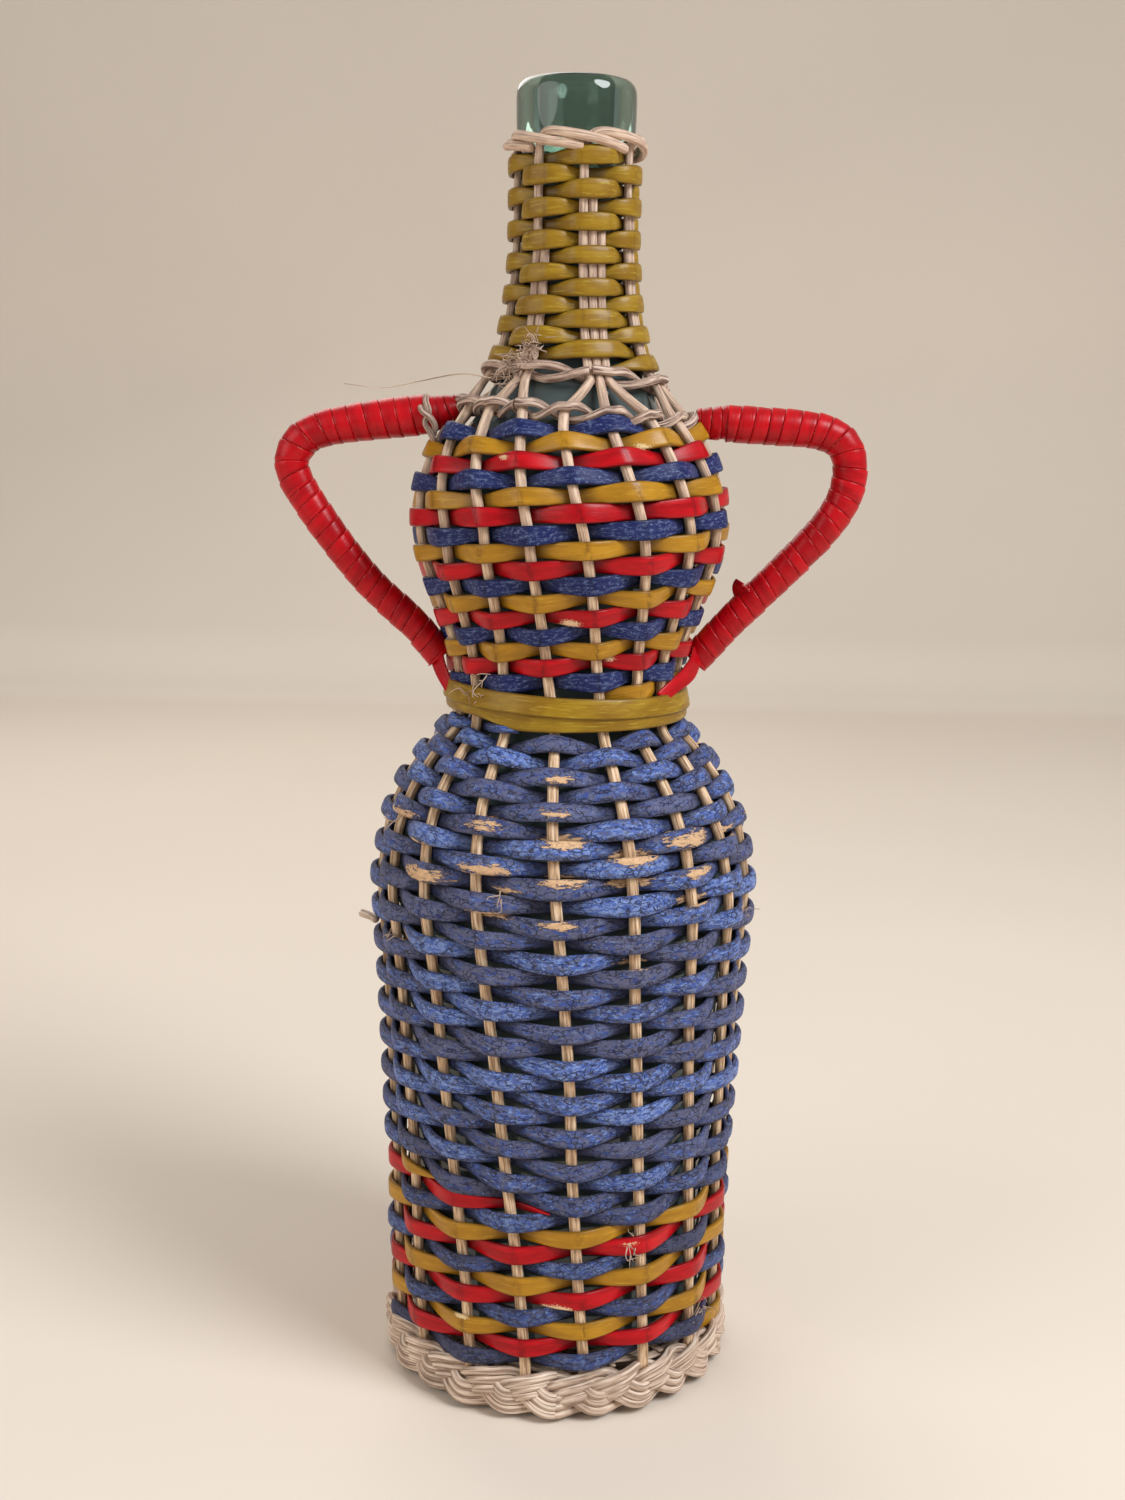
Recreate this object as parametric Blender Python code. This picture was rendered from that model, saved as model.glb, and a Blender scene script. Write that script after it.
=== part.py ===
"""A one-litre glass bottle cased in woven wicker, with a waist and two bound handles.

The casing is really woven: 17 stakes run up a turned profile, and every weaver passes outside one stake
and inside the next. Metres, +Z up, the bottle's axis on Z, the foot on Z = 0, the front towards -Y and the
handles along X. An angle is counted from the front towards +X.
"""

import math

import bmesh
import bpy
import numpy as np

# Stakes of each group at the neck, from the first one, left of the back, round the front to the back again
NECK_GROUP_STAKES = (3, 2, 2, 3, 2, 3, 2)
STAKE_COUNT = sum(NECK_GROUP_STAKES)
NECK_GROUP_COUNT = len(NECK_GROUP_STAKES)
FIRST_STAKE = -6
FIRST_GROUP = -3

# Other counts
COLOURS_IN_TURN = 3
BULB_FIRST_STAKE = 1
COLOUR_TURNS = 3
OCHRE_STAKES_SHORT = 3
RED_STAKES_SHORT = 1
PLAIT_STRANDS = 3
PLAIT_PERIODS = 8
PLAIT_STEPS = 6
HANDLE_WRAPS = 24
WRAP_POINTS = 6
HANDLE_STEPS = 18
COURSE_SAMPLES = 40
COURSE_STEPS = 12
GLASS_STEPS = 20
CORE_SIDES = 8
NEAR_RINGS = 2

# Clearance between neighbours
GAP = 0.0003

# Rods and strips
STAKE_THICKNESS = 0.0024
NECK_STAKE_THICKNESS = 0.0019
WEAVER_THICKNESS = 0.0015
NECK_WEAVER_THICKNESS = 0.0011
TWINING_ROD_HEIGHT = 0.0020
BORDER_ROD_THICKNESS = 0.0018

# Clear space between the stakes of a neck group, wider than the gap because they lean together
NECK_STAKE_CLEARANCE = 0.0004
NECK_STAKE_SPACING = NECK_STAKE_THICKNESS + NECK_STAKE_CLEARANCE

# Waist band, and the bare stake left above and below it
WAIST_BAND_WIDTH = 0.0048
WAIST_BAND_THICKNESS = 0.0016
WAIST_CLEARANCE = 0.00065

# Border round the neck's top
BORDER_ARCH = 0.0030
BORDER_TUCK = 0.0012

# Glass bottle
GLASS_WALL = 0.0030
NECK_WALL = 0.00235
BORE_RADIUS = 0.00925
LIP_STANDOUT = 0.00315
LIP_FALL = 0.0125
LIP_CLEARANCE = 0.0006
LIP_ROUNDING = 0.0022
HEEL_RADIUS = 0.0060
PUSH_UP_HEIGHT = 0.0070
PUSH_UP_RADIUS = 0.0230

# Radii of the casing, at the middle of the stakes
FOOT_RADIUS = 0.0433
BODY_RADIUS = 0.0480
WAIST_RADIUS = 0.0283
BULB_RADIUS = 0.0387
SHOULDER_RADIUS = 0.0276
NECK_FOOT_RADIUS = 0.0191
NECK_RADIUS = BORE_RADIUS + NECK_WALL + NECK_WEAVER_THICKNESS + 2 * GAP + NECK_STAKE_THICKNESS / 2

# Heights of the casing, each a climb above the one before
FOOT_HEIGHT = 0.0128
BODY_CLIMB = 0.1182
BODY_SHOULDER_CLIMB = 0.0410
BULB_CLIMB = 0.0395
BULB_SHOULDER_CLIMB = 0.0280
NECK_FOOT_CLIMB = 0.0110
NECK_FLARE_CLIMB = 0.0280
NECK_CLIMB = 0.0230
BODY_HEIGHT = FOOT_HEIGHT + BODY_CLIMB
WAIST_BOTTOM_HEIGHT = BODY_HEIGHT + BODY_SHOULDER_CLIMB
WAIST_TOP_HEIGHT = WAIST_BOTTOM_HEIGHT + 2 * (WAIST_BAND_WIDTH + GAP + WAIST_CLEARANCE)
BULB_HEIGHT = WAIST_TOP_HEIGHT + BULB_CLIMB
SHOULDER_HEIGHT = BULB_HEIGHT + BULB_SHOULDER_CLIMB
NECK_FOOT_HEIGHT = SHOULDER_HEIGHT + NECK_FOOT_CLIMB
NECK_HEIGHT = NECK_FOOT_HEIGHT + NECK_FLARE_CLIMB
NECK_TOP_HEIGHT = NECK_HEIGHT + NECK_CLIMB
BORDER_TOP_HEIGHT = NECK_TOP_HEIGHT + BORDER_ARCH + BORDER_ROD_THICKNESS / 2
BOTTLE_HEIGHT = BORDER_TOP_HEIGHT + LIP_CLEARANCE + LIP_FALL

# Rows of weaving: each run starts a rise above, and ends a drop below, the profile's named heights
COLOUR_FIRST_RISE = 0.0025
COLOUR_PITCH = 0.0042
BODY_LAST_DROP = 0.0035
BODY_PITCH = 0.0045
BULB_FIRST_RISE = 0.0030
BULB_PITCH = 0.00422
BULB_LAST_DROP = 0.0045
NECK_FIRST_RISE = 0.0032
NECK_PITCH = 0.0036
NECK_LAST_DROP = 0.0045

# Drops of the twinings, and of the place where the stakes are gathered, below the heights they belong to
SHOULDER_TWINING_DROP = 0.0005
NECK_TWINING_DROP = 0.0022
GATHER_DROP = 0.0038
GATHER_HEIGHT = NECK_FOOT_HEIGHT - GATHER_DROP

# Plaited foot, which fills the height under the casing
PLAIT_STANDOUT = 0.0009
PLAIT_DEPTH = 0.00165
PLAIT_ROD_HEIGHT = 0.0030
PLAIT_ROD_THICKNESS = 0.0024
PLAIT_FLAT = 0.0005
PLAIT_RADIUS = FOOT_RADIUS + PLAIT_STANDOUT
PLAIT_REACH = (FOOT_HEIGHT - GAP - PLAIT_ROD_HEIGHT + PLAIT_FLAT) / 2

# Woven base
BASE_THICKNESS = 0.0036
BASE_SETBACK = 0.0026
BASE_RIM = 0.0005
BASE_RADIUS = PLAIT_RADIUS - BASE_SETBACK

# Handles: their roots stand off the casing, just below its shoulder and just above its waist
HANDLE_CORE_RADIUS = 0.0028
HANDLE_WRAP_THICKNESS = 0.0010
HANDLE_WRAP_GAP = 0.00135
HANDLE_WRAP_CLEARANCE = 0.0005
HANDLE_SPAN = 0.0370
HANDLE_TOP_DROP = 0.0010
HANDLE_FOOT_RISE = 0.0045
HANDLE_TOP_STANDOFF = 0.00107
HANDLE_FOOT_STANDOFF = 0.00344
TIE_THICKNESS = 0.0018
TIE_WIDTH = 0.0030
TIE_SETBACK = 0.0030
BINDING_RADIUS = (HANDLE_CORE_RADIUS + HANDLE_WRAP_CLEARANCE) / math.cos(math.pi / WRAP_POINTS)
TIE_RADIUS = BINDING_RADIUS + TIE_THICKNESS

# Angles of the front stake at the foot, the bulb and the shoulder, and of the front group, in degrees
STAKE_FOOT_ANGLE = 10.9
STAKE_BULB_ANGLE = -12.7
STAKE_SHOULDER_ANGLE = -25.0
NECK_GROUP_ANGLE = 17.5

# Points of the profile between its named heights, as (share of the climb, share of the change of radius)
BODY_SIDE_SHARES = ((0.40, 0.17), (0.78, 0.62))
BODY_SHOULDER_SHARES = ((0.37, 0.12), (0.63, 0.35), (0.85, 0.69))
BULB_LOWER_SHARES = ((0.20, 0.10), (0.50, 0.48), (0.79, 0.87))
BULB_UPPER_SHARES = ((0.32, 0.08), (0.60, 0.33), (0.82, 0.63))
NECK_FLARE_SHARES = ((0.29, 0.50), (0.58, 0.80))

# Course of a handle, as (share of the reach past its root, share of the fall)
LEFT_HANDLE_SHARES = (
    (-0.025, 0.0), (0.40, 0.03), (0.78, 0.07), (0.95, 0.13), (1.0, 0.24), (0.82, 0.43), (0.50, 0.68),
    (0.17, 0.87), (0.0, 1.0),
)
RIGHT_HANDLE_SHARES = (
    (0.0, 0.02), (0.40, 0.03), (0.80, 0.05), (0.98, 0.12), (1.0, 0.27), (0.88, 0.42), (0.60, 0.61),
    (0.26, 0.82), (0.0, 1.0),
)

# Border rod past its stake, as shares of (the step to the next stake, the standout, the arch, the tuck)
BORDER_SHARES = (
    (0.0, 0.0, 0.0, 0.0), (0.12, 0.10, 0.75, 0.0), (0.40, 0.55, 1.0, 0.0), (0.72, 1.0, 0.62, 0.0),
    (1.0, 1.05, 0.0, 0.0), (1.28, 0.60, 0.0, 1.0), (1.45, 0.0, 0.0, 1.0),
)

# Where the short stakes stop, as shares of the neck
SHORT_STAKE_TOP_SHARES = (0.62, 0.45, 0.78)

# Where the lowest rows start, in rows from the first row's height at the front
LOWEST_ROW_SHARE = -0.06
BULB_LOWEST_ROW_SHARE = -0.05

# Width of the body's topmost row at its end, and of its widest rows, as shares of a colour row
LAST_ROW_SHARE = 0.45
WIDEST_ROW_SHARE = 1.12

# Heel of the glass: its middle point, its inner corner, and its floor's thickness as a share of the wall
HEEL_CURVE_SHARE = 0.3
HEEL_INNER_SHARE = 0.5
FLOOR_SHARE = 1.5

# Share of a turn left open at each end of the waist band, and taken by its step
WAIST_END_SHARE = 0.06

# How much taller a row is where it shows than where it is hidden
SWELL_SHARE = 0.16

# Rise of a twined rod where it crosses its fellow, as a share of the rod's height
TWINING_RISE_SHARE = 0.66

# Width of a row where a strip runs out, as shares of a full row at its last crossings
RUN_OUT_SHARES = (0.75, 0.5, 0.2)

NATURAL = (0.52, 0.36, 0.24)
PLAIT_TAN = (0.56, 0.44, 0.34)
BLUE_PAINT = (0.07, 0.11, 0.36)
STRIP_BLUE = (0.04, 0.07, 0.24)
RED_PAINT = (0.58, 0.01, 0.02)
OCHRE_PAINT = (0.48, 0.25, 0.03)
OLIVE_OCHRE = (0.34, 0.22, 0.03)
GREEN_GLASS = (0.10, 0.25, 0.20)


def clear_scene():
    for obj in list(bpy.data.objects):
        bpy.data.objects.remove(obj, do_unlink=True)


def make_material(name, colour, roughness, alpha=1.0):
    material = bpy.data.materials.new(name)
    material.use_nodes = True
    shader = material.node_tree.nodes["Principled BSDF"]
    shader.inputs["Base Color"].default_value = (*colour, 1.0)
    shader.inputs["Roughness"].default_value = roughness
    shader.inputs["Metallic"].default_value = 0.0
    shader.inputs["Alpha"].default_value = alpha
    return material


def add_object(name, mesh, material):
    mesh.materials.append(material)
    mesh.shade_smooth()
    mesh.set_sharp_from_angle(angle=math.radians(40))
    obj = bpy.data.objects.new(name, mesh)
    bpy.context.scene.collection.objects.link(obj)
    return obj


def loft(name, rings, material, closed=False):
    """A solid through rings of points, an array of (ring, point, xyz): capped, or closed on itself."""
    bm = bmesh.new()
    loops = [[bm.verts.new(point) for point in ring] for ring in rings]
    sides = len(loops[0])
    pairs = list(zip(loops[:-1], loops[1:]))
    if closed:
        pairs.append((loops[-1], loops[0]))
    for one, two in pairs:
        for i in range(sides):
            k = (i + 1) % sides
            bm.faces.new((one[i], one[k], two[k], two[i]))
    if not closed:
        bm.faces.new(loops[0][::-1])
        bm.faces.new(loops[-1])
    bmesh.ops.recalc_face_normals(bm, faces=bm.faces)
    mesh = bpy.data.meshes.new(name)
    bm.to_mesh(mesh)
    bm.free()
    return add_object(name, mesh, material)


# The casing's profile

def between(start, end, shares):
    (r0, z0), (r1, z1) = start, end
    return [(r0 + (r1 - r0) * turn, z0 + (z1 - z0) * climb) for climb, turn in shares]


def profile_stations():
    """The stake's middle line as (radius, height), from the foot up to the neck."""
    foot = (FOOT_RADIUS, FOOT_HEIGHT)
    body = (BODY_RADIUS, BODY_HEIGHT)
    waist = (WAIST_RADIUS, WAIST_BOTTOM_HEIGHT)
    waist_top = (WAIST_RADIUS, WAIST_TOP_HEIGHT)
    bulb = (BULB_RADIUS, BULB_HEIGHT)
    shoulder = (SHOULDER_RADIUS, SHOULDER_HEIGHT)
    neck_foot = (NECK_FOOT_RADIUS, NECK_FOOT_HEIGHT)
    neck = (NECK_RADIUS, NECK_HEIGHT)
    return np.array(
        [foot, *between(foot, body, BODY_SIDE_SHARES)]
        + [body, *between(body, waist, BODY_SHOULDER_SHARES)]
        + [waist, waist_top, *between(waist_top, bulb, BULB_LOWER_SHARES)]
        + [bulb, *between(bulb, shoulder, BULB_UPPER_SHARES)]
        + [shoulder, neck_foot, *between(neck_foot, neck, NECK_FLARE_SHARES)]
        + [neck, (NECK_RADIUS, NECK_TOP_HEIGHT)]
    )


STATIONS = profile_stations()
STEPS = np.diff(STATIONS, axis=0)
LENGTHS = np.concatenate([[0.0], np.cumsum(np.hypot(*STEPS.T))])


def station_normals():
    """The outward normal at each station, half way between those of the runs that meet there."""
    runs = STEPS / np.hypot(*STEPS.T)[:, None]
    normals = np.stack([runs[:, 1], -runs[:, 0]], axis=1)
    ends = np.concatenate([normals[:1], normals[:-1] + normals[1:], normals[-1:]])
    return ends / np.hypot(*ends.T)[:, None]


NORMALS = station_normals()


def length_at(height):
    """Length along the profile from the foot up to a height."""
    return np.interp(height, STATIONS[:, 1], LENGTHS)


def profile_at(length):
    """Radius, height and outward normal of the profile at a length along it."""
    length = np.asarray(length, float)
    radius = np.interp(length, LENGTHS, STATIONS[:, 0])
    height = np.interp(length, LENGTHS, STATIONS[:, 1])
    out = np.interp(length, LENGTHS, NORMALS[:, 0])
    up = np.interp(length, LENGTHS, NORMALS[:, 1])
    size = np.hypot(out, up)
    return radius, height, out / size, up / size


def stake_thickness_at(height):
    """The stakes thin from the shoulder to where they are gathered for the neck."""
    return np.interp(height, (SHOULDER_HEIGHT, GATHER_HEIGHT), (STAKE_THICKNESS, NECK_STAKE_THICKNESS))


def place(angle, radius, height):
    """Points from angles, radii and heights, with the front at -Y."""
    angle, radius, height = np.broadcast_arrays(angle, radius, height)
    return np.stack([radius * np.sin(angle), -radius * np.cos(angle), height], axis=-1)


def stake_angle(index, height):
    """A stake's angle below the shoulder: even steps round, all leaning to the left as they rise."""
    heights = (FOOT_HEIGHT, BULB_HEIGHT, SHOULDER_HEIGHT)
    angles = (STAKE_FOOT_ANGLE, STAKE_BULB_ANGLE, STAKE_SHOULDER_ANGLE)
    lean = np.radians(np.interp(height, heights, angles))
    return 2 * math.pi * np.asarray(index, float) / STAKE_COUNT + lean


# Strands that follow the profile

def strand(name, angles_at, lengths, lifts, heights, thickness, material):
    """A strand with a flat back and a ridge in front. At each sample its middle is lifted off the profile.

    Its samples' angles come from a function of height, so that its section leans as the stake there does.
    """
    radius, height, out, up = profile_at(lengths)
    centre_r = radius + lifts * out
    centre_z = height + lifts * up
    half_t = thickness / 2
    half_h = heights / 2
    corners = [
        (centre_r + half_t * out, centre_z + half_t * up),
        (centre_r - half_t * out - half_h * up, centre_z - half_t * up + half_h * out),
        (centre_r - half_t * out + half_h * up, centre_z - half_t * up - half_h * out),
    ]
    rings = np.stack([place(angles_at(z), r, z) for r, z in corners], axis=1)
    return loft(name, rings, material)


def crossing_lift(lengths, thickness):
    """How far off the profile a strand's middle lies where it passes over or under a stake."""
    height = profile_at(lengths)[1]
    return stake_thickness_at(height) / 2 + GAP + thickness / 2


def side_at(crossings, line):
    """1 where a strand passes outside a stake, -1 where it passes inside, 0 half way between two stakes."""
    return np.cos(math.pi * (crossings + line))


def row_heights(side, pitch):
    """Full height of a row, more where it shows and less where it is hidden, so that rows always clear."""
    return (pitch - GAP) * (1 + SWELL_SHARE * side)


def weave(name, crossings, line, lengths, pitch, material, widths=1.0, first_stake=0):
    """A weaver through a run of crossings, outside the even ones of its line and inside the odd ones."""
    side = side_at(crossings, line)
    lift = crossing_lift(lengths, WEAVER_THICKNESS) * side
    heights = row_heights(side, pitch) * widths

    def angles_at(height):
        return stake_angle(crossings + first_stake, height)

    return strand(name, angles_at, lengths, lift, heights, WEAVER_THICKNESS, material)


def colour_level(crossings, line):
    """Rows above the first blue one at the front: three strands climb together, three rows a turn."""
    return line + COLOURS_IN_TURN * crossings / STAKE_COUNT


# Stakes

def group_spots(group):
    """Places of a group's stakes, in spacings from its middle."""
    count = NECK_GROUP_STAKES[(group - FIRST_GROUP) % NECK_GROUP_COUNT]
    return [spot - (count - 1) / 2 for spot in range(count)]


def stake_places():
    """The group that each stake joins at the neck, and its place in it."""
    groups = range(FIRST_GROUP, FIRST_GROUP + NECK_GROUP_COUNT)
    places = [(group, spot) for group in groups for spot in group_spots(group)]
    return {FIRST_STAKE + i: place for i, place in enumerate(places)}


STAKE_PLACES = stake_places()


def group_angle(group):
    return math.radians(NECK_GROUP_ANGLE) + 2 * math.pi * group / NECK_GROUP_COUNT


def gathered_angle(group, spot, radius):
    """A stake's angle once it is gathered for the neck."""
    return group_angle(group) + spot * NECK_STAKE_SPACING / radius


def is_long(index):
    """The first stake of each group goes on up to the border."""
    group, spot = STAKE_PLACES[index]
    return spot == group_spots(group)[0]


def stake_path(index):
    """Angle, radius and height of a stake, from the foot to the border or to where a short stake stops."""
    group, spot = STAKE_PLACES[index]
    top = NECK_TOP_HEIGHT
    if not is_long(index):
        share = SHORT_STAKE_TOP_SHARES[index % len(SHORT_STAKE_TOP_SHARES)]
        top = NECK_FOOT_HEIGHT + (NECK_TOP_HEIGHT - NECK_FOOT_HEIGHT) * share
    heights = np.sort(np.append(STATIONS[:, 1], GATHER_HEIGHT))
    heights = np.append(heights[heights < top - GAP], top)
    radii = np.interp(heights, STATIONS[:, 1], STATIONS[:, 0])
    gathered = gathered_angle(group, spot, radii)
    blend = np.clip((heights - SHOULDER_HEIGHT) / (GATHER_HEIGHT - SHOULDER_HEIGHT), 0, 1)
    angles = stake_angle(index, np.minimum(heights, SHOULDER_HEIGHT)) * (1 - blend) + gathered * blend
    return angles, radii, heights


def border_path(group):
    """The top of a group's long stake: it arches to the right outside the next one, then goes behind it."""
    start = gathered_angle(group, group_spots(group)[0], NECK_RADIUS)
    step = gathered_angle(group + 1, group_spots(group + 1)[0], NECK_RADIUS) - start
    out = BORDER_ROD_THICKNESS + 2 * GAP
    turn, standout, arch, tuck = np.array(BORDER_SHARES).T
    height = NECK_TOP_HEIGHT + BORDER_ARCH * arch - BORDER_TUCK * tuck
    return start + step * turn, NECK_RADIUS + out * standout, height


def rod_rings(points, thickness, reference):
    """A four-sided rod through points, with an edge turned towards the reference directions."""
    ahead = np.gradient(points, axis=0)
    ahead /= np.linalg.norm(ahead, axis=1)[:, None]
    side = np.cross(ahead, reference)
    side /= np.linalg.norm(side, axis=1)[:, None]
    out = np.cross(side, ahead)
    half = (thickness / 2 * np.ones(len(points)))[:, None]
    out, side = half * out, half * side
    return np.stack([points + out, points + side, points - out, points - side], axis=1)


def make_stake(index, material):
    angles, radii, heights = stake_path(index)
    thickness = stake_thickness_at(heights)
    if is_long(index):
        arch_angles, arch_radii, arch_heights = border_path(STAKE_PLACES[index][0])
        angles = np.append(angles[:-1], arch_angles)
        radii = np.append(radii[:-1], arch_radii)
        heights = np.append(heights[:-1], arch_heights)
        thickness = np.append(thickness[:-1], np.full(len(arch_angles), BORDER_ROD_THICKNESS))
    outward = place(angles, np.ones_like(angles), 0.0)
    points = place(angles, radii, heights)
    number = index % STAKE_COUNT + 1
    return loft(f"stake_{number:02d}", rod_rings(points, thickness, outward), material)


# Lower body

COLOUR_ROWS = COLOUR_TURNS * COLOURS_IN_TURN
OCHRE_LAST = COLOUR_TURNS * STAKE_COUNT - OCHRE_STAKES_SHORT
RED_LAST = COLOUR_TURNS * STAKE_COUNT - RED_STAKES_SHORT


def colour_length(level):
    """Length along the profile of the colour rows' levels."""
    return length_at(FOOT_HEIGHT + COLOUR_FIRST_RISE) + COLOUR_PITCH * level


BODY_TOP_LENGTH = length_at(WAIST_BOTTOM_HEIGHT - BODY_LAST_DROP)

# The blue weaver's turns above the colour rows, in whole half turns
BODY_TURNS = math.floor(2 * (BODY_TOP_LENGTH - colour_length(COLOUR_ROWS)) / BODY_PITCH) / 2


def first_crossing(line, level):
    return math.ceil((level - line) * STAKE_COUNT / COLOURS_IN_TURN)


def run_out_width(crossings, last):
    """Width of a strip that runs out after crossing last, as a share of its full width."""
    places = (last - 2, last - 1, last, last + 0.5)
    return np.interp(crossings, places, (1.0, *RUN_OUT_SHARES))


def body_level_floor(turn_share):
    """Level of the colour rows' top under the body's first turn, with a step down past each strip's end."""
    steps = np.zeros_like(turn_share)
    for last in (OCHRE_LAST, RED_LAST):
        at = (last % STAKE_COUNT) / STAKE_COUNT
        steps += np.clip((turn_share - at) * STAKE_COUNT / 2 + 0.5, 0, 1)
    return COLOUR_ROWS + (COLOURS_IN_TURN - 1) * turn_share - steps


def body_length(crossings):
    """Length along the profile of the blue weaver: colour rows first, then a row a turn up to the waist."""
    level = colour_level(crossings, 0)
    turns = crossings / STAKE_COUNT - COLOUR_TURNS
    floor = colour_length(body_level_floor(np.mod(turns, 1.0)))
    above = floor + turns * (BODY_TOP_LENGTH - floor) / BODY_TURNS
    return np.where(turns < 0, colour_length(level), above)


def body_pitch(crossings):
    """Row pitch of the blue weaver at each crossing."""
    pitch = body_length(crossings + STAKE_COUNT) - body_length(crossings)
    return np.minimum(pitch, COLOUR_PITCH * WIDEST_ROW_SHARE)


def make_lower_body(blue, red, ochre):
    """The blue weaver from the foot to the waist, and the two strips that share its first rows."""
    last = int(STAKE_COUNT * (COLOUR_TURNS + BODY_TURNS))
    crossings = np.arange(first_crossing(0, LOWEST_ROW_SHARE), last + 1)
    among_colours = crossings <= COLOUR_TURNS * STAKE_COUNT
    pitch = np.where(among_colours, COLOUR_PITCH, body_pitch(crossings))
    widths = np.interp(crossings, (last - STAKE_COUNT, last), (1.0, LAST_ROW_SHARE))
    weave("body_blue_weaver", crossings, 0, body_length(crossings), pitch, blue, widths)
    for name, line, last, material in (
        ("foot_red_weaver", 1, RED_LAST, red),
        ("foot_ochre_weaver", 2, OCHRE_LAST, ochre),
    ):
        crossings = np.append(np.arange(first_crossing(line, LOWEST_ROW_SHARE), last + 1), last + 0.5)
        widths = run_out_width(crossings, last)
        lengths = colour_length(colour_level(crossings, line) - (1 - widths) / 2)
        weave(name, crossings, line, lengths, COLOUR_PITCH, material, widths)


# Bulb

def bulb_length(level):
    """Length along the profile of the bulb rows' levels."""
    return length_at(WAIST_TOP_HEIGHT + BULB_FIRST_RISE) + BULB_PITCH * level


def make_bulb(blue, red, ochre):
    """Three strips that chase each other round the bulb, each a row above the one before."""
    top_level = (length_at(SHOULDER_HEIGHT - BULB_LAST_DROP) - bulb_length(0)) / BULB_PITCH
    for name, line, material in (
        ("bulb_blue_weaver", 0, blue),
        ("bulb_red_weaver", 1, red),
        ("bulb_ochre_weaver", 2, ochre),
    ):
        last = math.floor((top_level - line) * STAKE_COUNT / COLOURS_IN_TURN)
        crossings = np.arange(first_crossing(line, BULB_LOWEST_ROW_SHARE), last + 1)
        lengths = bulb_length(colour_level(crossings, line))
        weave(name, crossings, line, lengths, BULB_PITCH, material, first_stake=BULB_FIRST_STAKE)


# Neck

def make_neck_weaver(material):
    """One strip round the groups, with a sample at every stake of each group."""
    start = length_at(NECK_FOOT_HEIGHT + NECK_FIRST_RISE)
    turns = math.floor((length_at(NECK_TOP_HEIGHT - NECK_LAST_DROP) - start) / NECK_PITCH)
    run = range(turns * NECK_GROUP_COUNT + 1)
    crossings, spots = np.array([(crossing, spot) for crossing in run for spot in group_spots(crossing)]).T
    lengths = start + NECK_PITCH * crossings / NECK_GROUP_COUNT
    angles = gathered_angle(crossings, spots, profile_at(lengths)[0])
    side = side_at(crossings, 0)
    lift = crossing_lift(lengths, NECK_WEAVER_THICKNESS) * side
    heights = row_heights(side, NECK_PITCH)
    thickness = NECK_WEAVER_THICKNESS
    return strand("neck_weaver", lambda height: angles, lengths, lift, heights, thickness, material)


def twining(name, height, count, centre_angle, spots_of, phase, material):
    """One of two rods that twist about each other between uprights: outside one and inside the next."""
    length = length_at(height)
    radius = profile_at(length)[0]
    lift = crossing_lift(length, WEAVER_THICKNESS)
    rise = TWINING_RISE_SHARE * TWINING_ROD_HEIGHT
    angles, lifts, rises = [], [], []
    for upright in range(count):
        side = 1 if (upright + phase) % 2 == 0 else -1
        for spot in spots_of(upright):
            angles.append(centre_angle(upright) + spot * NECK_STAKE_SPACING / radius)
            lifts.append(lift * side)
            rises.append(0.0)
        if upright < count - 1:
            angles.append((centre_angle(upright) + centre_angle(upright + 1)) / 2)
            lifts.append(0.0)
            rises.append(rise * side)
    lengths = length + np.array(rises)
    lifts = np.array(lifts)
    heights = np.full(len(lengths), TWINING_ROD_HEIGHT)
    return strand(name, lambda height: angles, lengths, lifts, heights, WEAVER_THICKNESS, material)


def make_twinings(material):
    def stake(index):
        return stake_angle(index, SHOULDER_HEIGHT)

    shoulder = SHOULDER_HEIGHT - SHOULDER_TWINING_DROP
    neck = NECK_FOOT_HEIGHT - NECK_TWINING_DROP
    for number, phase in ((1, 0), (2, 1)):
        twining(f"shoulder_twining_{number}", shoulder, STAKE_COUNT, stake, lambda index: (0,), phase, material)
        twining(f"neck_twining_{number}", neck, NECK_GROUP_COUNT, group_angle, group_spots, phase, material)


# Waist band

def make_waist_band(material):
    """A flat strip laid twice round the waist's bare stakes, stepping up to its second turn at the back."""
    lower = np.linspace(WAIST_END_SHARE, 1 - WAIST_END_SHARE, STAKE_COUNT + 1)
    step_up = np.linspace(1 - WAIST_END_SHARE, 1 + WAIST_END_SHARE, 4)[1:-1]
    turns = np.concatenate([lower, step_up, lower + 1])
    angle = 2 * math.pi * turns + math.pi
    middle = (WAIST_BOTTOM_HEIGHT + WAIST_TOP_HEIGHT) / 2
    pitch = WAIST_BAND_WIDTH + GAP
    step = np.clip((turns - 1) / WAIST_END_SHARE, -1, 1)
    height = middle + pitch / 2 * step
    inner = WAIST_RADIUS + STAKE_THICKNESS / 2 + 2 * GAP
    outer = inner + WAIST_BAND_THICKNESS
    half = WAIST_BAND_WIDTH / 2
    corners = ((outer, -half), (outer, half), (inner, half), (inner, -half))
    rings = np.stack([place(angle, radius, height + rise) for radius, rise in corners], axis=1)
    return loft("waist_band", rings, material)


# Plaited foot

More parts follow.
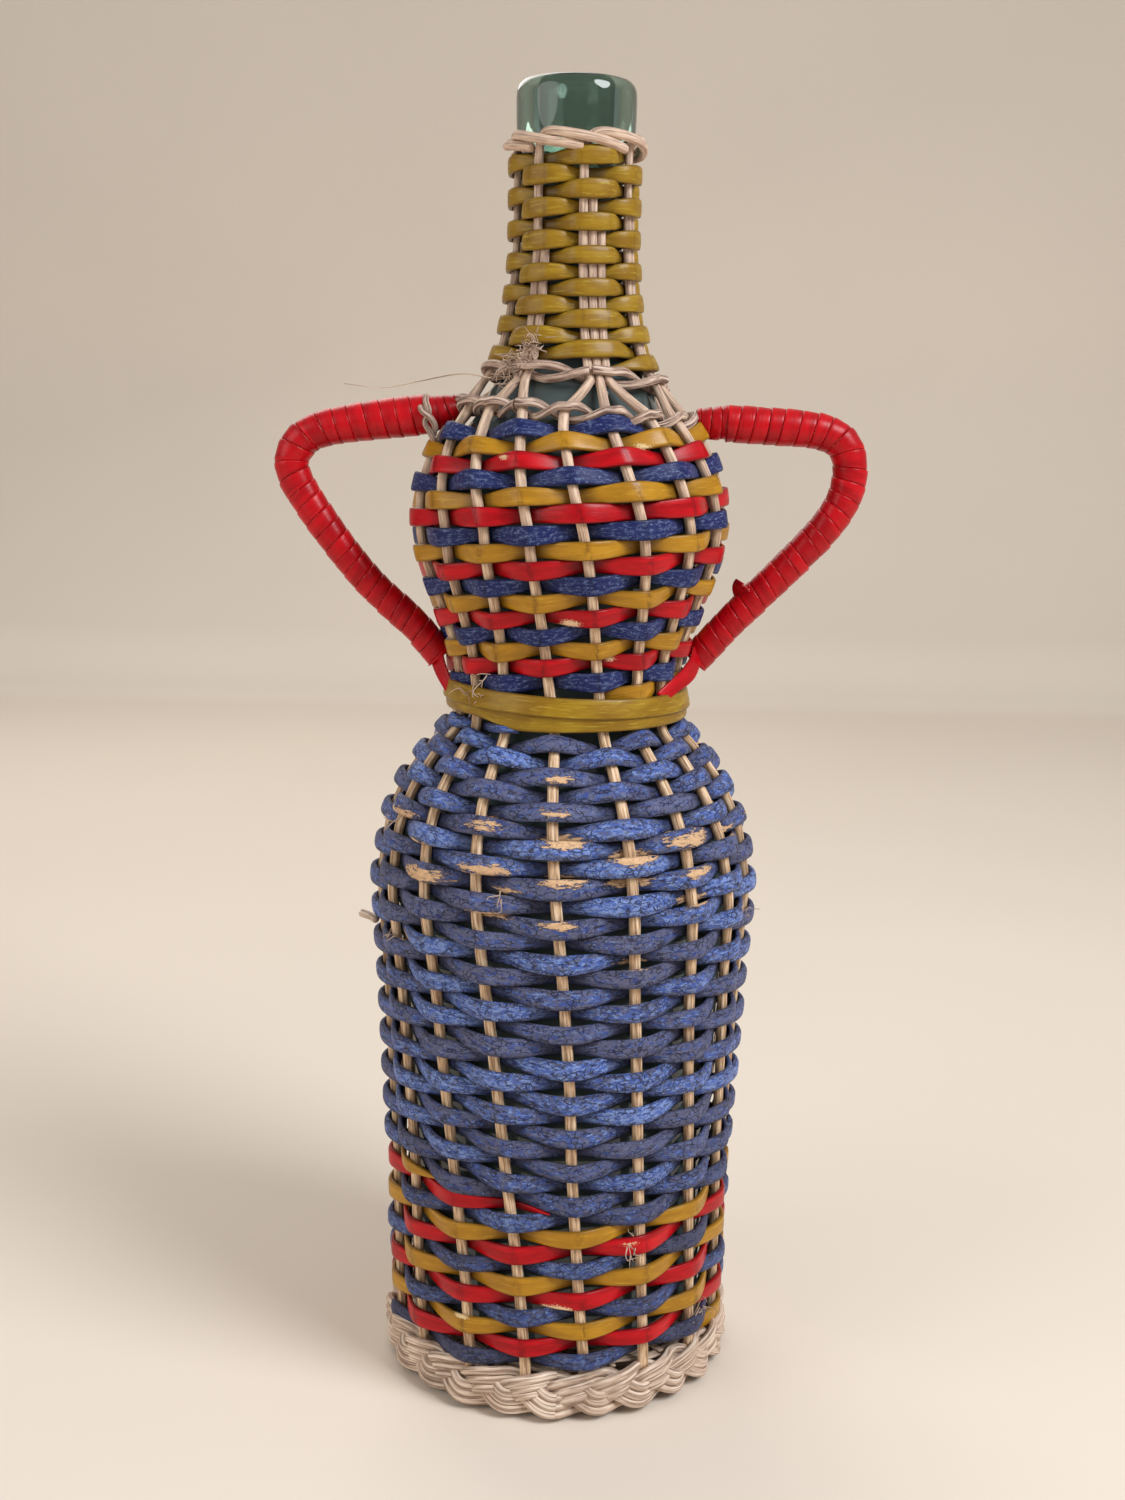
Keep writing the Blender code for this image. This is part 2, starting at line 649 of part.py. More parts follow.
def make_plait(number, material):
    """One of three rods of a plaited ring: it swings up and down once a period, and in and out twice."""
    samples = np.arange(PLAIT_STEPS * PLAIT_PERIODS)
    around = 2 * math.pi * samples / len(samples)
    swing = 2 * math.pi * ((samples + 0.5) / PLAIT_STEPS + number / PLAIT_STRANDS)
    middle = PLAIT_REACH + PLAIT_ROD_HEIGHT / 2 - PLAIT_FLAT
    radius = PLAIT_RADIUS + PLAIT_DEPTH * np.sin(2 * swing)
    height = middle + PLAIT_REACH * np.sin(swing)
    half_t, half_h = PLAIT_ROD_THICKNESS / 2, PLAIT_ROD_HEIGHT / 2
    corners = ((half_t, 0.0), (0.0, half_h), (-half_t, 0.0), (0.0, -half_h))
    rings = np.stack([place(around, radius + out, height + rise) for out, rise in corners], axis=1)
    obj = loft(f"foot_plait_{number + 1}", rings, material, closed=True)
    bm = bmesh.new()
    bm.from_mesh(obj.data)
    geometry = bm.verts[:] + bm.edges[:] + bm.faces[:]
    down = (0, 0, -1)
    cut = bmesh.ops.bisect_plane(bm, geom=geometry, plane_co=(0, 0, 0), plane_no=down, clear_outer=True)
    edges = [item for item in cut["geom_cut"] if isinstance(item, bmesh.types.BMEdge)]
    bmesh.ops.holes_fill(bm, edges=edges)
    bmesh.ops.recalc_face_normals(bm, faces=bm.faces)
    bm.to_mesh(obj.data)
    bm.free()


# Woven base

def turned(name, outline, steps, material):
    """A solid of revolution: a closed outline that runs down its outer side, turned round Z by a Screw."""
    pairs = [(i, (i + 1) % len(outline)) for i in range(len(outline))]
    edges = [pair for pair in pairs if outline[pair[0]][0] > 0 or outline[pair[1]][0] > 0]
    mesh = bpy.data.meshes.new(name)
    mesh.from_pydata([(r, 0.0, z) for r, z in outline], edges, [])
    mesh.materials.append(material)
    obj = bpy.data.objects.new(name, mesh)
    bpy.context.scene.collection.objects.link(obj)
    screw = obj.modifiers.new("turn", "SCREW")
    screw.steps = steps
    screw.render_steps = steps
    screw.use_merge_vertices = True
    screw.merge_threshold = 0.00001
    screw.use_smooth_shade = True


def make_base(material):
    top = FOOT_HEIGHT - GAP
    bottom = top - BASE_THICKNESS
    outline = [
        (0.0, top), (BASE_RADIUS - BASE_RIM, top), (BASE_RADIUS, top - BASE_RIM),
        (BASE_RADIUS, bottom + BASE_RIM), (BASE_RADIUS - BASE_RIM, bottom), (0.0, bottom),
    ]
    turned("woven_base", outline, 2 * STAKE_COUNT, material)


# Glass bottle

def glass_outline():
    """The bottle's wall: down the outside from the lip to the push-up, then up the inside and over."""
    heights = STATIONS[:, 1]
    lift = stake_thickness_at(heights) / 2 + 2 * GAP
    lift = lift + np.where(heights > NECK_FOOT_HEIGHT, NECK_WEAVER_THICKNESS, WEAVER_THICKNESS)
    skin = (STATIONS - NORMALS * lift[:, None])[::-1]
    bottom = FOOT_HEIGHT
    radius = skin[-1, 0]
    neck_radius = skin[1, 0]
    lip_radius = neck_radius + LIP_STANDOUT
    lip_bottom = BOTTLE_HEIGHT - LIP_FALL
    floor = bottom + FLOOR_SHARE * GLASS_WALL
    curve = HEEL_CURVE_SHARE * HEEL_RADIUS
    lip = [
        (lip_radius, BOTTLE_HEIGHT - LIP_ROUNDING), (lip_radius, lip_bottom),
        (neck_radius, lip_bottom - LIP_STANDOUT / 2),
    ]
    outer = [(r, z) for r, z in skin[1:-1]]
    heel = [
        (radius, bottom + HEEL_RADIUS), (radius - curve, bottom + curve), (radius - HEEL_RADIUS, bottom),
        (PUSH_UP_RADIUS, bottom), (0.0, bottom + PUSH_UP_HEIGHT),
    ]
    inner = [
        (0.0, bottom + PUSH_UP_HEIGHT + GLASS_WALL), (PUSH_UP_RADIUS, floor),
        (radius - GLASS_WALL - HEEL_INNER_SHARE * HEEL_RADIUS, floor),
        (radius - GLASS_WALL, bottom + HEEL_RADIUS + GLASS_WALL),
    ]
    inner += [(max(r - GLASS_WALL, BORE_RADIUS), z) for r, z in outer[::-1]]
    mouth = [(BORE_RADIUS, BOTTLE_HEIGHT), (lip_radius - LIP_ROUNDING, BOTTLE_HEIGHT)]
    return mouth[1:] + lip + outer + heel + inner + mouth[:1]


def make_glass(material):
    turned("glass_bottle", glass_outline(), GLASS_STEPS, material)


# Handles

def handle_course(shares):
    """The middle line of a handle as (distance from the axis, height): a smooth curve through points."""
    shares = np.array(shares)
    top = SHOULDER_HEIGHT - HANDLE_TOP_DROP
    foot = WAIST_TOP_HEIGHT + HANDLE_FOOT_RISE
    top_root = profile_at(length_at(top - TIE_RADIUS))[0] + HANDLE_TOP_STANDOFF
    foot_root = profile_at(length_at(foot + HANDLE_CORE_RADIUS))[0] + HANDLE_FOOT_STANDOFF
    root = top_root + (foot_root - top_root) * shares[:, 1]
    reach = root + (top_root + HANDLE_SPAN - root) * shares[:, 0]
    height = top + (foot - top) * shares[:, 1]
    return smooth_course(np.stack([reach, height], axis=1))


def smooth_course(points):
    """A Catmull-Rom curve through points, spaced evenly along its length."""
    ends = np.concatenate([[2 * points[0] - points[1]], points, [2 * points[-1] - points[-2]]])
    t = np.linspace(0, 1, COURSE_STEPS, endpoint=False)[:, None]
    pieces = []
    for i in range(len(points) - 1):
        a, b, c, d = ends[i:i + 4]
        pieces.append(0.5 * (2 * b + (c - a) * t + (2 * a - 5 * b + 4 * c - d) * t**2
                             + (3 * b - a - 3 * c + d) * t**3))
    line = np.concatenate([*pieces, points[-1:]])
    run = np.concatenate([[0.0], np.cumsum(np.linalg.norm(np.diff(line, axis=0), axis=1))])
    even = np.linspace(0, run[-1], COURSE_SAMPLES)
    return np.stack([np.interp(even, run, line[:, k]) for k in range(line.shape[1])], axis=1)


def course_frame(course, share):
    """Point and outward normal of a handle's course at shares of its length."""
    ticks = np.linspace(0, 1, len(course))
    point = np.stack([np.interp(share, ticks, course[:, k]) for k in (0, 1)], axis=-1)
    ahead = np.gradient(course, axis=0)
    ahead /= np.linalg.norm(ahead, axis=1)[:, None]
    ahead = np.stack([np.interp(share, ticks, ahead[:, k]) for k in (0, 1)], axis=-1)
    ahead /= np.linalg.norm(ahead, axis=-1)[..., None]
    normal = np.stack([-ahead[..., 1], ahead[..., 0]], axis=-1)
    return point, normal


def around_course(course, side, share, turn, distance):
    """Points at a distance from the course, where turn is the angle round it from its outer side."""
    point, normal = course_frame(course, share)
    in_plane = distance * np.cos(turn)
    x = point[..., 0] + normal[..., 0] * in_plane
    z = point[..., 1] + normal[..., 1] * in_plane
    return np.stack([side * x, distance * np.sin(turn) * np.ones_like(x), z], axis=-1)


def make_handle(label, side, shares, red, wood, natural):
    course = handle_course(shares)
    ticks = np.linspace(0, 1, HANDLE_STEPS)[:, None]
    turns = 2 * math.pi * np.arange(CORE_SIDES)[None, :] / CORE_SIDES
    loft(f"{label}_handle_core", around_course(course, side, ticks, turns, HANDLE_CORE_RADIUS), wood)

    length = np.linalg.norm(np.diff(course, axis=0), axis=1).sum()
    count = HANDLE_WRAPS * WRAP_POINTS
    turn = 2 * math.pi * np.arange(count + 1) / WRAP_POINTS
    clear_share = (TIE_SETBACK + TIE_WIDTH + GAP) / length
    free = 1 - 2 * clear_share
    pitch = free / (HANDLE_WRAPS + 1)
    half = (pitch - HANDLE_WRAP_GAP / length) / 2
    middle = clear_share + pitch * (0.5 + np.arange(count + 1) / WRAP_POINTS)
    outer = BINDING_RADIUS + HANDLE_WRAP_THICKNESS
    corners = ((outer, -half), (outer, half), (BINDING_RADIUS, half), (BINDING_RADIUS, -half))
    edges = [around_course(course, side, middle + along, turn, distance) for distance, along in corners]
    rings = np.stack(edges, axis=1)
    loft(f"{label}_handle_wrap", rings, red)
    print(f"{label}_handle_wrap: least gap to itself {1000 * least_gap(rings):.2f} mm")
    make_tie(label, side, course, length, natural)


def least_gap(rings):
    """The least distance between a loop's upper edge and the next loop's lower edge."""
    upper = rings[:, 1:3]
    lower = rings[:, [0, 3]]
    least = math.inf
    for i in range(len(rings) - WRAP_POINTS):
        near = lower[i + WRAP_POINTS - NEAR_RINGS:i + WRAP_POINTS + NEAR_RINGS + 1].reshape(-1, 3)
        least = min(least, np.linalg.norm(upper[i][:, None] - near, axis=2).min())
    return least


def make_tie(label, side, course, length, material):
    """A band of natural cord round the handle near its root."""
    turns = 2 * math.pi * np.arange(WRAP_POINTS) / WRAP_POINTS
    start = TIE_SETBACK / length
    end = start + TIE_WIDTH / length
    corners = ((TIE_RADIUS, start), (TIE_RADIUS, end), (BINDING_RADIUS, end), (BINDING_RADIUS, start))
    edges = [around_course(course, side, along, turns, distance) for distance, along in corners]
    rings = np.stack(edges, axis=1)
    loft(f"{label}_handle_tie", rings, material, closed=True)


def main():
    clear_scene()
    natural = make_material("natural_willow", NATURAL, 0.75)
    plait_tan = make_material("plait_willow", PLAIT_TAN, 0.8)
    blue = make_material("blue_willow", BLUE_PAINT, 0.7)
    strip_blue = make_material("blue_strip", STRIP_BLUE, 0.6)
    red = make_material("red_strip", RED_PAINT, 0.35)
    ochre = make_material("ochre_strip", OCHRE_PAINT, 0.4)
    olive = make_material("olive_strip", OLIVE_OCHRE, 0.45)
    glass = make_material("green_glass", GREEN_GLASS, 0.05, alpha=0.4)

    make_glass(glass)
    make_base(plait_tan)
    for index in STAKE_PLACES:
        make_stake(index, natural)
    make_lower_body(blue, red, ochre)
    make_bulb(strip_blue, red, ochre)
    make_neck_weaver(olive)
    make_twinings(natural)
    make_waist_band(olive)
    for number in range(PLAIT_STRANDS):
        make_plait(number, plait_tan)
    make_handle("left", -1, LEFT_HANDLE_SHARES, red, natural, natural)
    make_handle("right", 1, RIGHT_HANDLE_SHARES, red, natural, natural)


main()
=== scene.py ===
"""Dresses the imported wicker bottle: woven willow, painted strips, bound handles, plaited foot, green glass.

Laid out as an add-on: one operator makes each group of pieces, and a panel in the 3D view's sidebar lists them.
Every rod and strip is a section carried along a path. The paths lie on the casing's profile, which is given by
its stations as (radius, height), and an angle is counted from the front (-Y) towards +X.
"""

import math

import bmesh
import bpy
import numpy as np
from bpy.props import FloatProperty, FloatVectorProperty, PointerProperty
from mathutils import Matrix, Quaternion, Vector


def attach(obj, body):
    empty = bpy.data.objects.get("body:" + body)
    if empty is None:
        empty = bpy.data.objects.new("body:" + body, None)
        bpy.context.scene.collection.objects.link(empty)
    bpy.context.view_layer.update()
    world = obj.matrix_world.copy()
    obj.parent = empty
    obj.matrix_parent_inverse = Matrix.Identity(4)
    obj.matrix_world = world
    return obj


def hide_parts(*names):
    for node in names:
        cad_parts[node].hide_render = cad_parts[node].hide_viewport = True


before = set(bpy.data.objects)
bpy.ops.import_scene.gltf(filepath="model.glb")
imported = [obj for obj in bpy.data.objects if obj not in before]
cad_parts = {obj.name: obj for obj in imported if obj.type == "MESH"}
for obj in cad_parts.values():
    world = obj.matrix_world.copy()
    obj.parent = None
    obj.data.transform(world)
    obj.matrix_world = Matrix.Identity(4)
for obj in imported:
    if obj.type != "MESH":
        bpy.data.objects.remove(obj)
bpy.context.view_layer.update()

bl_info = {
    "name": "Wicker bottle",
    "version": (1, 0, 0),
    "blender": (4, 5, 0),
    "location": "3D View > Sidebar > Wicker",
    "description": "Makes a glass bottle cased in woven willow, with two bound handles",
    "category": "Object",
}

MM = 0.001
TURN = 2 * math.pi

# The casing's profile at the middle of the stakes, as (radius, height) in millimetres
STATIONS = np.array([
    (43.3, 12.8), (44.1, 60.08), (46.21, 105.0), (48.0, 131.0), (45.64, 146.17), (41.1, 156.83),
    (34.41, 165.85), (28.3, 172.0), (28.3, 183.5), (29.34, 191.4), (33.29, 203.25), (37.35, 214.71),
    (38.7, 223.0), (37.81, 231.96), (35.04, 239.8), (31.71, 245.96), (27.6, 251.0), (19.1, 262.0),
    (16.68, 270.12), (15.22, 278.24), (14.25, 290.0), (14.25, 313.0),
])
SHOULDER = 251.0
GATHERED = 258.2
NECK_TOP = 313.0

# How the profile is sampled: its step, how far it goes on past both ends, the bell's samples, and those cut off
PROFILE_STEP = 0.25
PROFILE_REACH = 12.0
BELL_SAMPLES = 49
PROFILE_TRIM = 36

# Stakes and neck groups. A stake's angle is the front one's, which leans, plus even steps and its own drift
STAKES = 17
FIRST_STAKE = -6
GROUP_STAKES = (3, 2, 2, 3, 2, 3, 2)
GROUPS = len(GROUP_STAKES)
FIRST_GROUP = -3
FRONT_GROUP_DEGREES = 17.5
BULB_FIRST_STAKE = 1
NECK_STAKE = 1.9
NECK_STAKE_WIDTH = 2.15
NECK_STAKE_STEP = 2.3
LEAN_HEIGHTS = (12.8, 223.0, 251.0)
LEAN_DEGREES = (10.9, -12.7, -25.0)
DRIFT_STAKES = (-4, -3, -2, -1, 0, 1, 2, 3, 4, 5)
DRIFT_HEIGHTS = (12.8, 30.0, 110.0, 172.0, 187.0, 223.0, 247.0, 251.0)
DRIFT_DEGREES = np.array([
    (0.0, -0.6, 1.3, 0.1, -1.0, -0.6, 0.5, 2.0, 0.0, 0.0),
    (0.0, -0.6, 1.3, 0.1, -1.0, -0.6, 0.5, 2.0, 0.0, 0.0),
    (0.0, 2.0, 0.0, -1.7, 0.5, 1.4, 0.6, -1.0, 0.0, 0.0),
    (0.0, -0.5, -2.0, -2.5, 1.0, 4.0, 3.0, 1.0, 0.0, 0.0),
    (0.0, -0.5, -1.5, -3.0, -1.5, 1.8, 3.0, 1.5, 0.0, 0.0),
    (0.0, 0.0, 3.5, 2.2, -1.8, -3.6, -2.8, -1.4, 0.8, 0.0),
    (0.0, 0.0, 1.0, 1.0, 1.0, -1.6, -1.0, 0.0, 0.0, 0.0),
    (0.0, 0.0, 0.0, 0.0, 0.0, 0.0, 0.0, 0.0, 0.0, 0.0),
])

# A stake's share of its width, at two heights
SLIMMER = ((150.0, 200.0), (1.0, 0.9))

# Rows: a height is where the middle of a row crosses the front
COLOURS = 3
FOOT_FIRST = 15.3
FOOT_PITCH = 4.2
FOOT_ROWS = 9
OCHRE_LAST = 3 * STAKES - 3
RED_LAST = 3 * STAKES - 1
BODY_TURNS = 26.5
BODY_LAST = 168.5
BULB_FIRST = 186.5
BULB_PITCH = 4.22
BULB_LAST = 246.5
NECK_FIRST = 265.2
NECK_PITCH = 3.84
NECK_TURNS = 12
NECK_START = -6.75
WAIST = 28.3
SHOULDER_TWINING = 250.5
NECK_TWINING = 259.8
PLAIT_RADIUS = 44.3


def colour(red, green, blue):
    """A screen colour, each channel 0 to 255, as linear light."""
    channels = np.array([red, green, blue]) / 255
    linear = np.where(channels <= 0.04045, channels / 12.92, ((channels + 0.055) / 1.055) ** 2.4)
    return tuple(float(c) for c in linear)


# Profile

def dense_profile():
    """The stations joined by straight runs, sampled evenly, and smoothed by a bell curve with a spread of 2 mm.

    Both ends go on straight at first, so that the bell, which fades out 6 mm away, leaves them where they are.
    """
    steps = np.hypot(*np.diff(STATIONS, axis=0).T)
    run = np.concatenate([[0], np.cumsum(steps)])
    length = np.arange(-PROFILE_REACH, run[-1] + PROFILE_REACH, PROFILE_STEP)
    line = np.stack([np.interp(length, run, STATIONS[:, k]) for k in (0, 1)], axis=1)
    for past, last, before, place in ((length < 0, 0, 1, 0), (length > run[-1], -1, -2, run[-1])):
        ahead = (STATIONS[last] - STATIONS[before]) / np.hypot(*(STATIONS[last] - STATIONS[before]))
        line[past] = STATIONS[last] + ahead * np.abs(length - place)[past, None]
    bell = np.exp(-np.linspace(-3, 3, BELL_SAMPLES) ** 2 / 2)
    bell /= bell.sum()
    smooth = np.stack([np.convolve(line[:, k], bell, mode="same") for k in (0, 1)], axis=1)
    inner = slice(PROFILE_TRIM, -PROFILE_TRIM)
    return length[inner], smooth[inner]


LENGTH, LINE = dense_profile()
AHEAD = np.gradient(LINE, axis=0)
AHEAD /= np.hypot(*AHEAD.T)[:, None]


def length_at(height):
    return np.interp(height, LINE[:, 1], LENGTH)


def profile(length):
    """Radius, height, and the outward normal as (out, up), at a length along the profile."""
    radius, height, along_r, along_z = (
        np.interp(length, LENGTH, column) for column in (LINE[:, 0], LINE[:, 1], AHEAD[:, 0], AHEAD[:, 1])
    )
    size = np.hypot(along_r, along_z)
    return radius, height, along_z / size, -along_r / size


def stake_size(height):
    """The rods' depth and width at a height: thinner from where they are gathered for the neck."""
    settings = bpy.context.scene.wicker_bottle
    share = np.clip((height - SHOULDER) / (GATHERED - SHOULDER), 0, 1)
    depth = settings.stake_depth * (1 - share) + NECK_STAKE * MM * share
    width = settings.stake_width * np.interp(height, *SLIMMER) * (1 - share) + NECK_STAKE_WIDTH * MM * share
    return depth / MM, width / MM


def stake_angle(index, height):
    """A stake's angle below the shoulder: even steps, a lean to the left as they rise, and a drift of its own.

    The drift is read between the stakes and heights of its table, so a weaver may ask between two stakes.
    """
    index, height = np.broadcast_arrays(np.asarray(index, float), np.asarray(height, float))
    nearest = np.mod(index + STAKES / 2, STAKES) - STAKES / 2
    rows = np.stack([np.interp(nearest, DRIFT_STAKES, row) for row in DRIFT_DEGREES])
    place = np.interp(height, DRIFT_HEIGHTS, np.arange(len(DRIFT_HEIGHTS)))
    low = np.minimum(place.astype(int), len(DRIFT_HEIGHTS) - 2)
    below, above = (np.take_along_axis(rows, low[None] + k, axis=0)[0] for k in (0, 1))
    drift = below + (above - below) * (place - low)
    return TURN * index / STAKES + np.radians(np.interp(height, LEAN_HEIGHTS, LEAN_DEGREES) + drift)


def group_spots(group):
    """Places of a group's stakes across it, in stake steps."""
    count = GROUP_STAKES[(int(group) - FIRST_GROUP) % GROUPS]
    return [spot - (count - 1) / 2 for spot in range(count)]


def group_angle(group):
    return math.radians(FRONT_GROUP_DEGREES) + TURN * np.asarray(group, float) / GROUPS


def stake_places():
    """The group that each stake joins at the neck, and its place in it."""
    groups = range(FIRST_GROUP, FIRST_GROUP + GROUPS)
    return dict(enumerate(((group, spot) for group in groups for spot in group_spots(group)), FIRST_STAKE))


STAKE_PLACES = stake_places()


def unit(vectors):
    """Each row divided by its length."""
    return vectors / np.linalg.norm(vectors, axis=1)[:, None]


def at(angle, radius, height):
    """Points in metres from angles, and radii and heights in millimetres."""
    angle, radius, height = np.broadcast_arrays(angle, radius, height)
    return np.stack([radius * np.sin(angle), -radius * np.cos(angle), height], axis=-1) * MM


def wander(count, samples, amount, seed, start=None):
    """Small slow changes along a strand: random values at whole steps from its start, joined smoothly."""
    values = np.random.default_rng(seed).uniform(-1, 1, max(int(count), 2) + 3)
    place = np.asarray(samples, float) - (np.min(samples) if start is None else start)
    low = np.floor(place).astype(int)
    share = place - low
    share = share * share * (3 - 2 * share)
    size = len(values)
    return amount * (values[low % size] * (1 - share) + values[(low + 1) % size] * share)


# Meshes

def grid_piece(name, rings, material, nodes, closed=False, facts=None):
    """A piece from rings of points: quads between rings, flat caps at open ends.

    The array is (ring, point, xyz), or (tube, ring, point, xyz) for a piece of many tubes. Its UV map holds the
    distance along and the distance round, in centimetres. Each fact becomes an attribute.
    """
    tubes = rings[None] if rings.ndim == 3 else rings
    each, count, sides = tubes.shape[:3]
    bands = count if closed else count - 1
    t = np.arange(each)[:, None, None] * count * sides
    i = np.arange(bands)[None, :, None]
    j = np.arange(sides)[None, None, :]
    after, beside = (i + 1) % count, (j + 1) % sides
    corners = (i * sides + j, i * sides + beside, after * sides + beside, after * sides + j)
    quads = np.stack([t + corner for corner in corners], axis=-1).reshape(-1, 4)

    middle = tubes.mean(axis=2)
    step = np.linalg.norm(np.diff(np.concatenate([middle, middle[:, :1]], axis=1), axis=1), axis=2)
    along = np.concatenate([np.zeros((each, 1)), np.cumsum(step, axis=1)], axis=1) * 100
    edge = np.linalg.norm(tubes[:, :, np.r_[1:sides, 0]] - tubes, axis=3).mean(axis=1)
    around = np.concatenate([np.zeros((each, 1)), np.cumsum(edge, axis=1)], axis=1) * 100
    low_u, high_u = along[:, :bands, None] + 0 * j, along[:, 1:bands + 1, None] + 0 * j
    low_v, high_v = around[:, None, :-1] + 0 * i, around[:, None, 1:] + 0 * i
    pairs = ((low_u, low_v), (low_u, high_v), (high_u, high_v), (high_u, low_v))
    uv = np.stack([np.stack(pair, axis=-1) for pair in pairs], axis=3).reshape(-1, 4, 2)

    points = tubes.reshape(-1, 3)
    a, b, c, d = (points[quads[:, k]] for k in range(4))
    volume = (np.einsum("ij,ij->i", a, np.cross(b, c)) + np.einsum("ij,ij->i", a, np.cross(c, d))).sum()
    caps = []
    if not closed:
        first = np.arange(each)[:, None] * count * sides + np.arange(sides)[None, :]
        caps = [first[:, ::-1].ravel(), (first + (count - 1) * sides).ravel()]
    if volume < 0:
        quads, uv = quads[:, ::-1], uv[:, ::-1]
        caps = [cap.reshape(each, sides)[:, ::-1].ravel() for cap in caps]

    mesh = bpy.data.meshes.new(name)
    mesh.vertices.add(len(points))
    mesh.vertices.foreach_set("co", points.ravel())
    ends = np.concatenate(caps) if caps else np.zeros(0, int)
    loops = np.concatenate([quads.ravel(), ends]).astype(np.int32)
    mesh.loops.add(len(loops))
    mesh.loops.foreach_set("vertex_index", loops)
    starts = np.concatenate([np.arange(len(quads)) * 4, len(quads) * 4 + np.arange(len(ends) // sides) * sides])
    mesh.polygons.add(len(starts))
    mesh.polygons.foreach_set("loop_start", starts.astype(np.int32))
    mesh.update(calc_edges=True)
    layer = mesh.uv_layers.new(name="UVMap")
    layer.data.foreach_set("uv", np.concatenate([uv.reshape(-1, 2), np.zeros((len(ends), 2))]).ravel())
    for title, values in (facts or {}).items():
        attribute = mesh.attributes.new(title, "FLOAT", "POINT")
        values = np.broadcast_to(values, tubes.shape[:3]).astype(np.float32)
        attribute.data.foreach_set("value", values.ravel())
    mesh.shade_smooth()
    return finish_piece(name, mesh, material, nodes)


def finish_piece(name, mesh, material, nodes):
    """Links a mesh as a piece of the bottle, standing for its nodes of the frame."""
    mesh.validate()
    mesh.materials.append(material)
    piece = bpy.data.objects.new(name, mesh)
    bpy.context.scene.collection.objects.link(piece)
    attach(piece, "root")
    if nodes:
        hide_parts(*nodes)
    return piece


def oval(sides, power):
    """A rounded section: cosine and sine, each with its size raised to 2 / power, so a high power is boxier."""
    turn = TURN * (np.arange(sides) + 0.5) / sides
    cosine, sine = np.cos(turn), np.sin(turn)
    return np.sign(cosine) * np.abs(cosine) ** (2 / power), np.sign(sine) * np.abs(sine) ** (2 / power)


def profile_rings(angles_at, lengths, lifts, depth, width, section):
    """Rings of a strand that lies on the profile, lifted off it along the normal.

    A point's angle is a function of its height, so that the section leans as the stake there does.
    """
    radius, height, out, up = profile(lengths)
    across, along = section
    deep = lifts[:, None] + (depth * np.ones_like(lifts))[:, None] / 2 * across[None, :]
    wide = (width * np.ones_like(lifts))[:, None] / 2 * along[None, :]
    r = radius[:, None] + deep * out[:, None] - wide * up[:, None]
    z = height[:, None] + deep * up[:, None] + wide * out[:, None]
    return at(angles_at(z), r, z)


def path_rings(points, facing, depth, width, section):
    """Rings square to a path: the section's depth lies along the facing directions."""
    ahead = unit(np.gradient(points, axis=0))
    side = unit(np.cross(ahead, facing))
    out = np.cross(side, ahead)
    across, along = section
    deep = (depth * MM * np.ones(len(points)))[:, None, None] / 2 * across[None, :, None]
    wide = (width * MM * np.ones(len(points)))[:, None, None] / 2 * along[None, :, None]
    return points[:, None] + out[:, None] * deep + side[:, None] * wide


def smooth_path(points, samples):
    """A curve through points by cubic pieces, each with its slope from the points beside it, evenly spaced."""
    points = np.asarray(points, float)
    ends = np.concatenate([[2 * points[0] - points[1]], points, [2 * points[-1] - points[-2]]])
    t = np.linspace(0, 1, 16, endpoint=False)[None, :, None]
    a, b, c, d = (ends[k:k + len(points) - 1][:, None] for k in range(4))
    pieces = 0.5 * (2 * b + (c - a) * t + (2 * a - 5 * b + 4 * c - d) * t**2 + (3 * b - a - 3 * c + d) * t**3)
    line = np.concatenate([pieces.reshape(-1, points.shape[1]), points[-1:]])
    run = np.concatenate([[0], np.cumsum(np.linalg.norm(np.diff(line, axis=0), axis=1))])
    even = np.linspace(0, run[-1], samples)
    return np.stack([np.interp(even, run, line[:, k]) for k in range(line.shape[1])], axis=1)


# Finishes

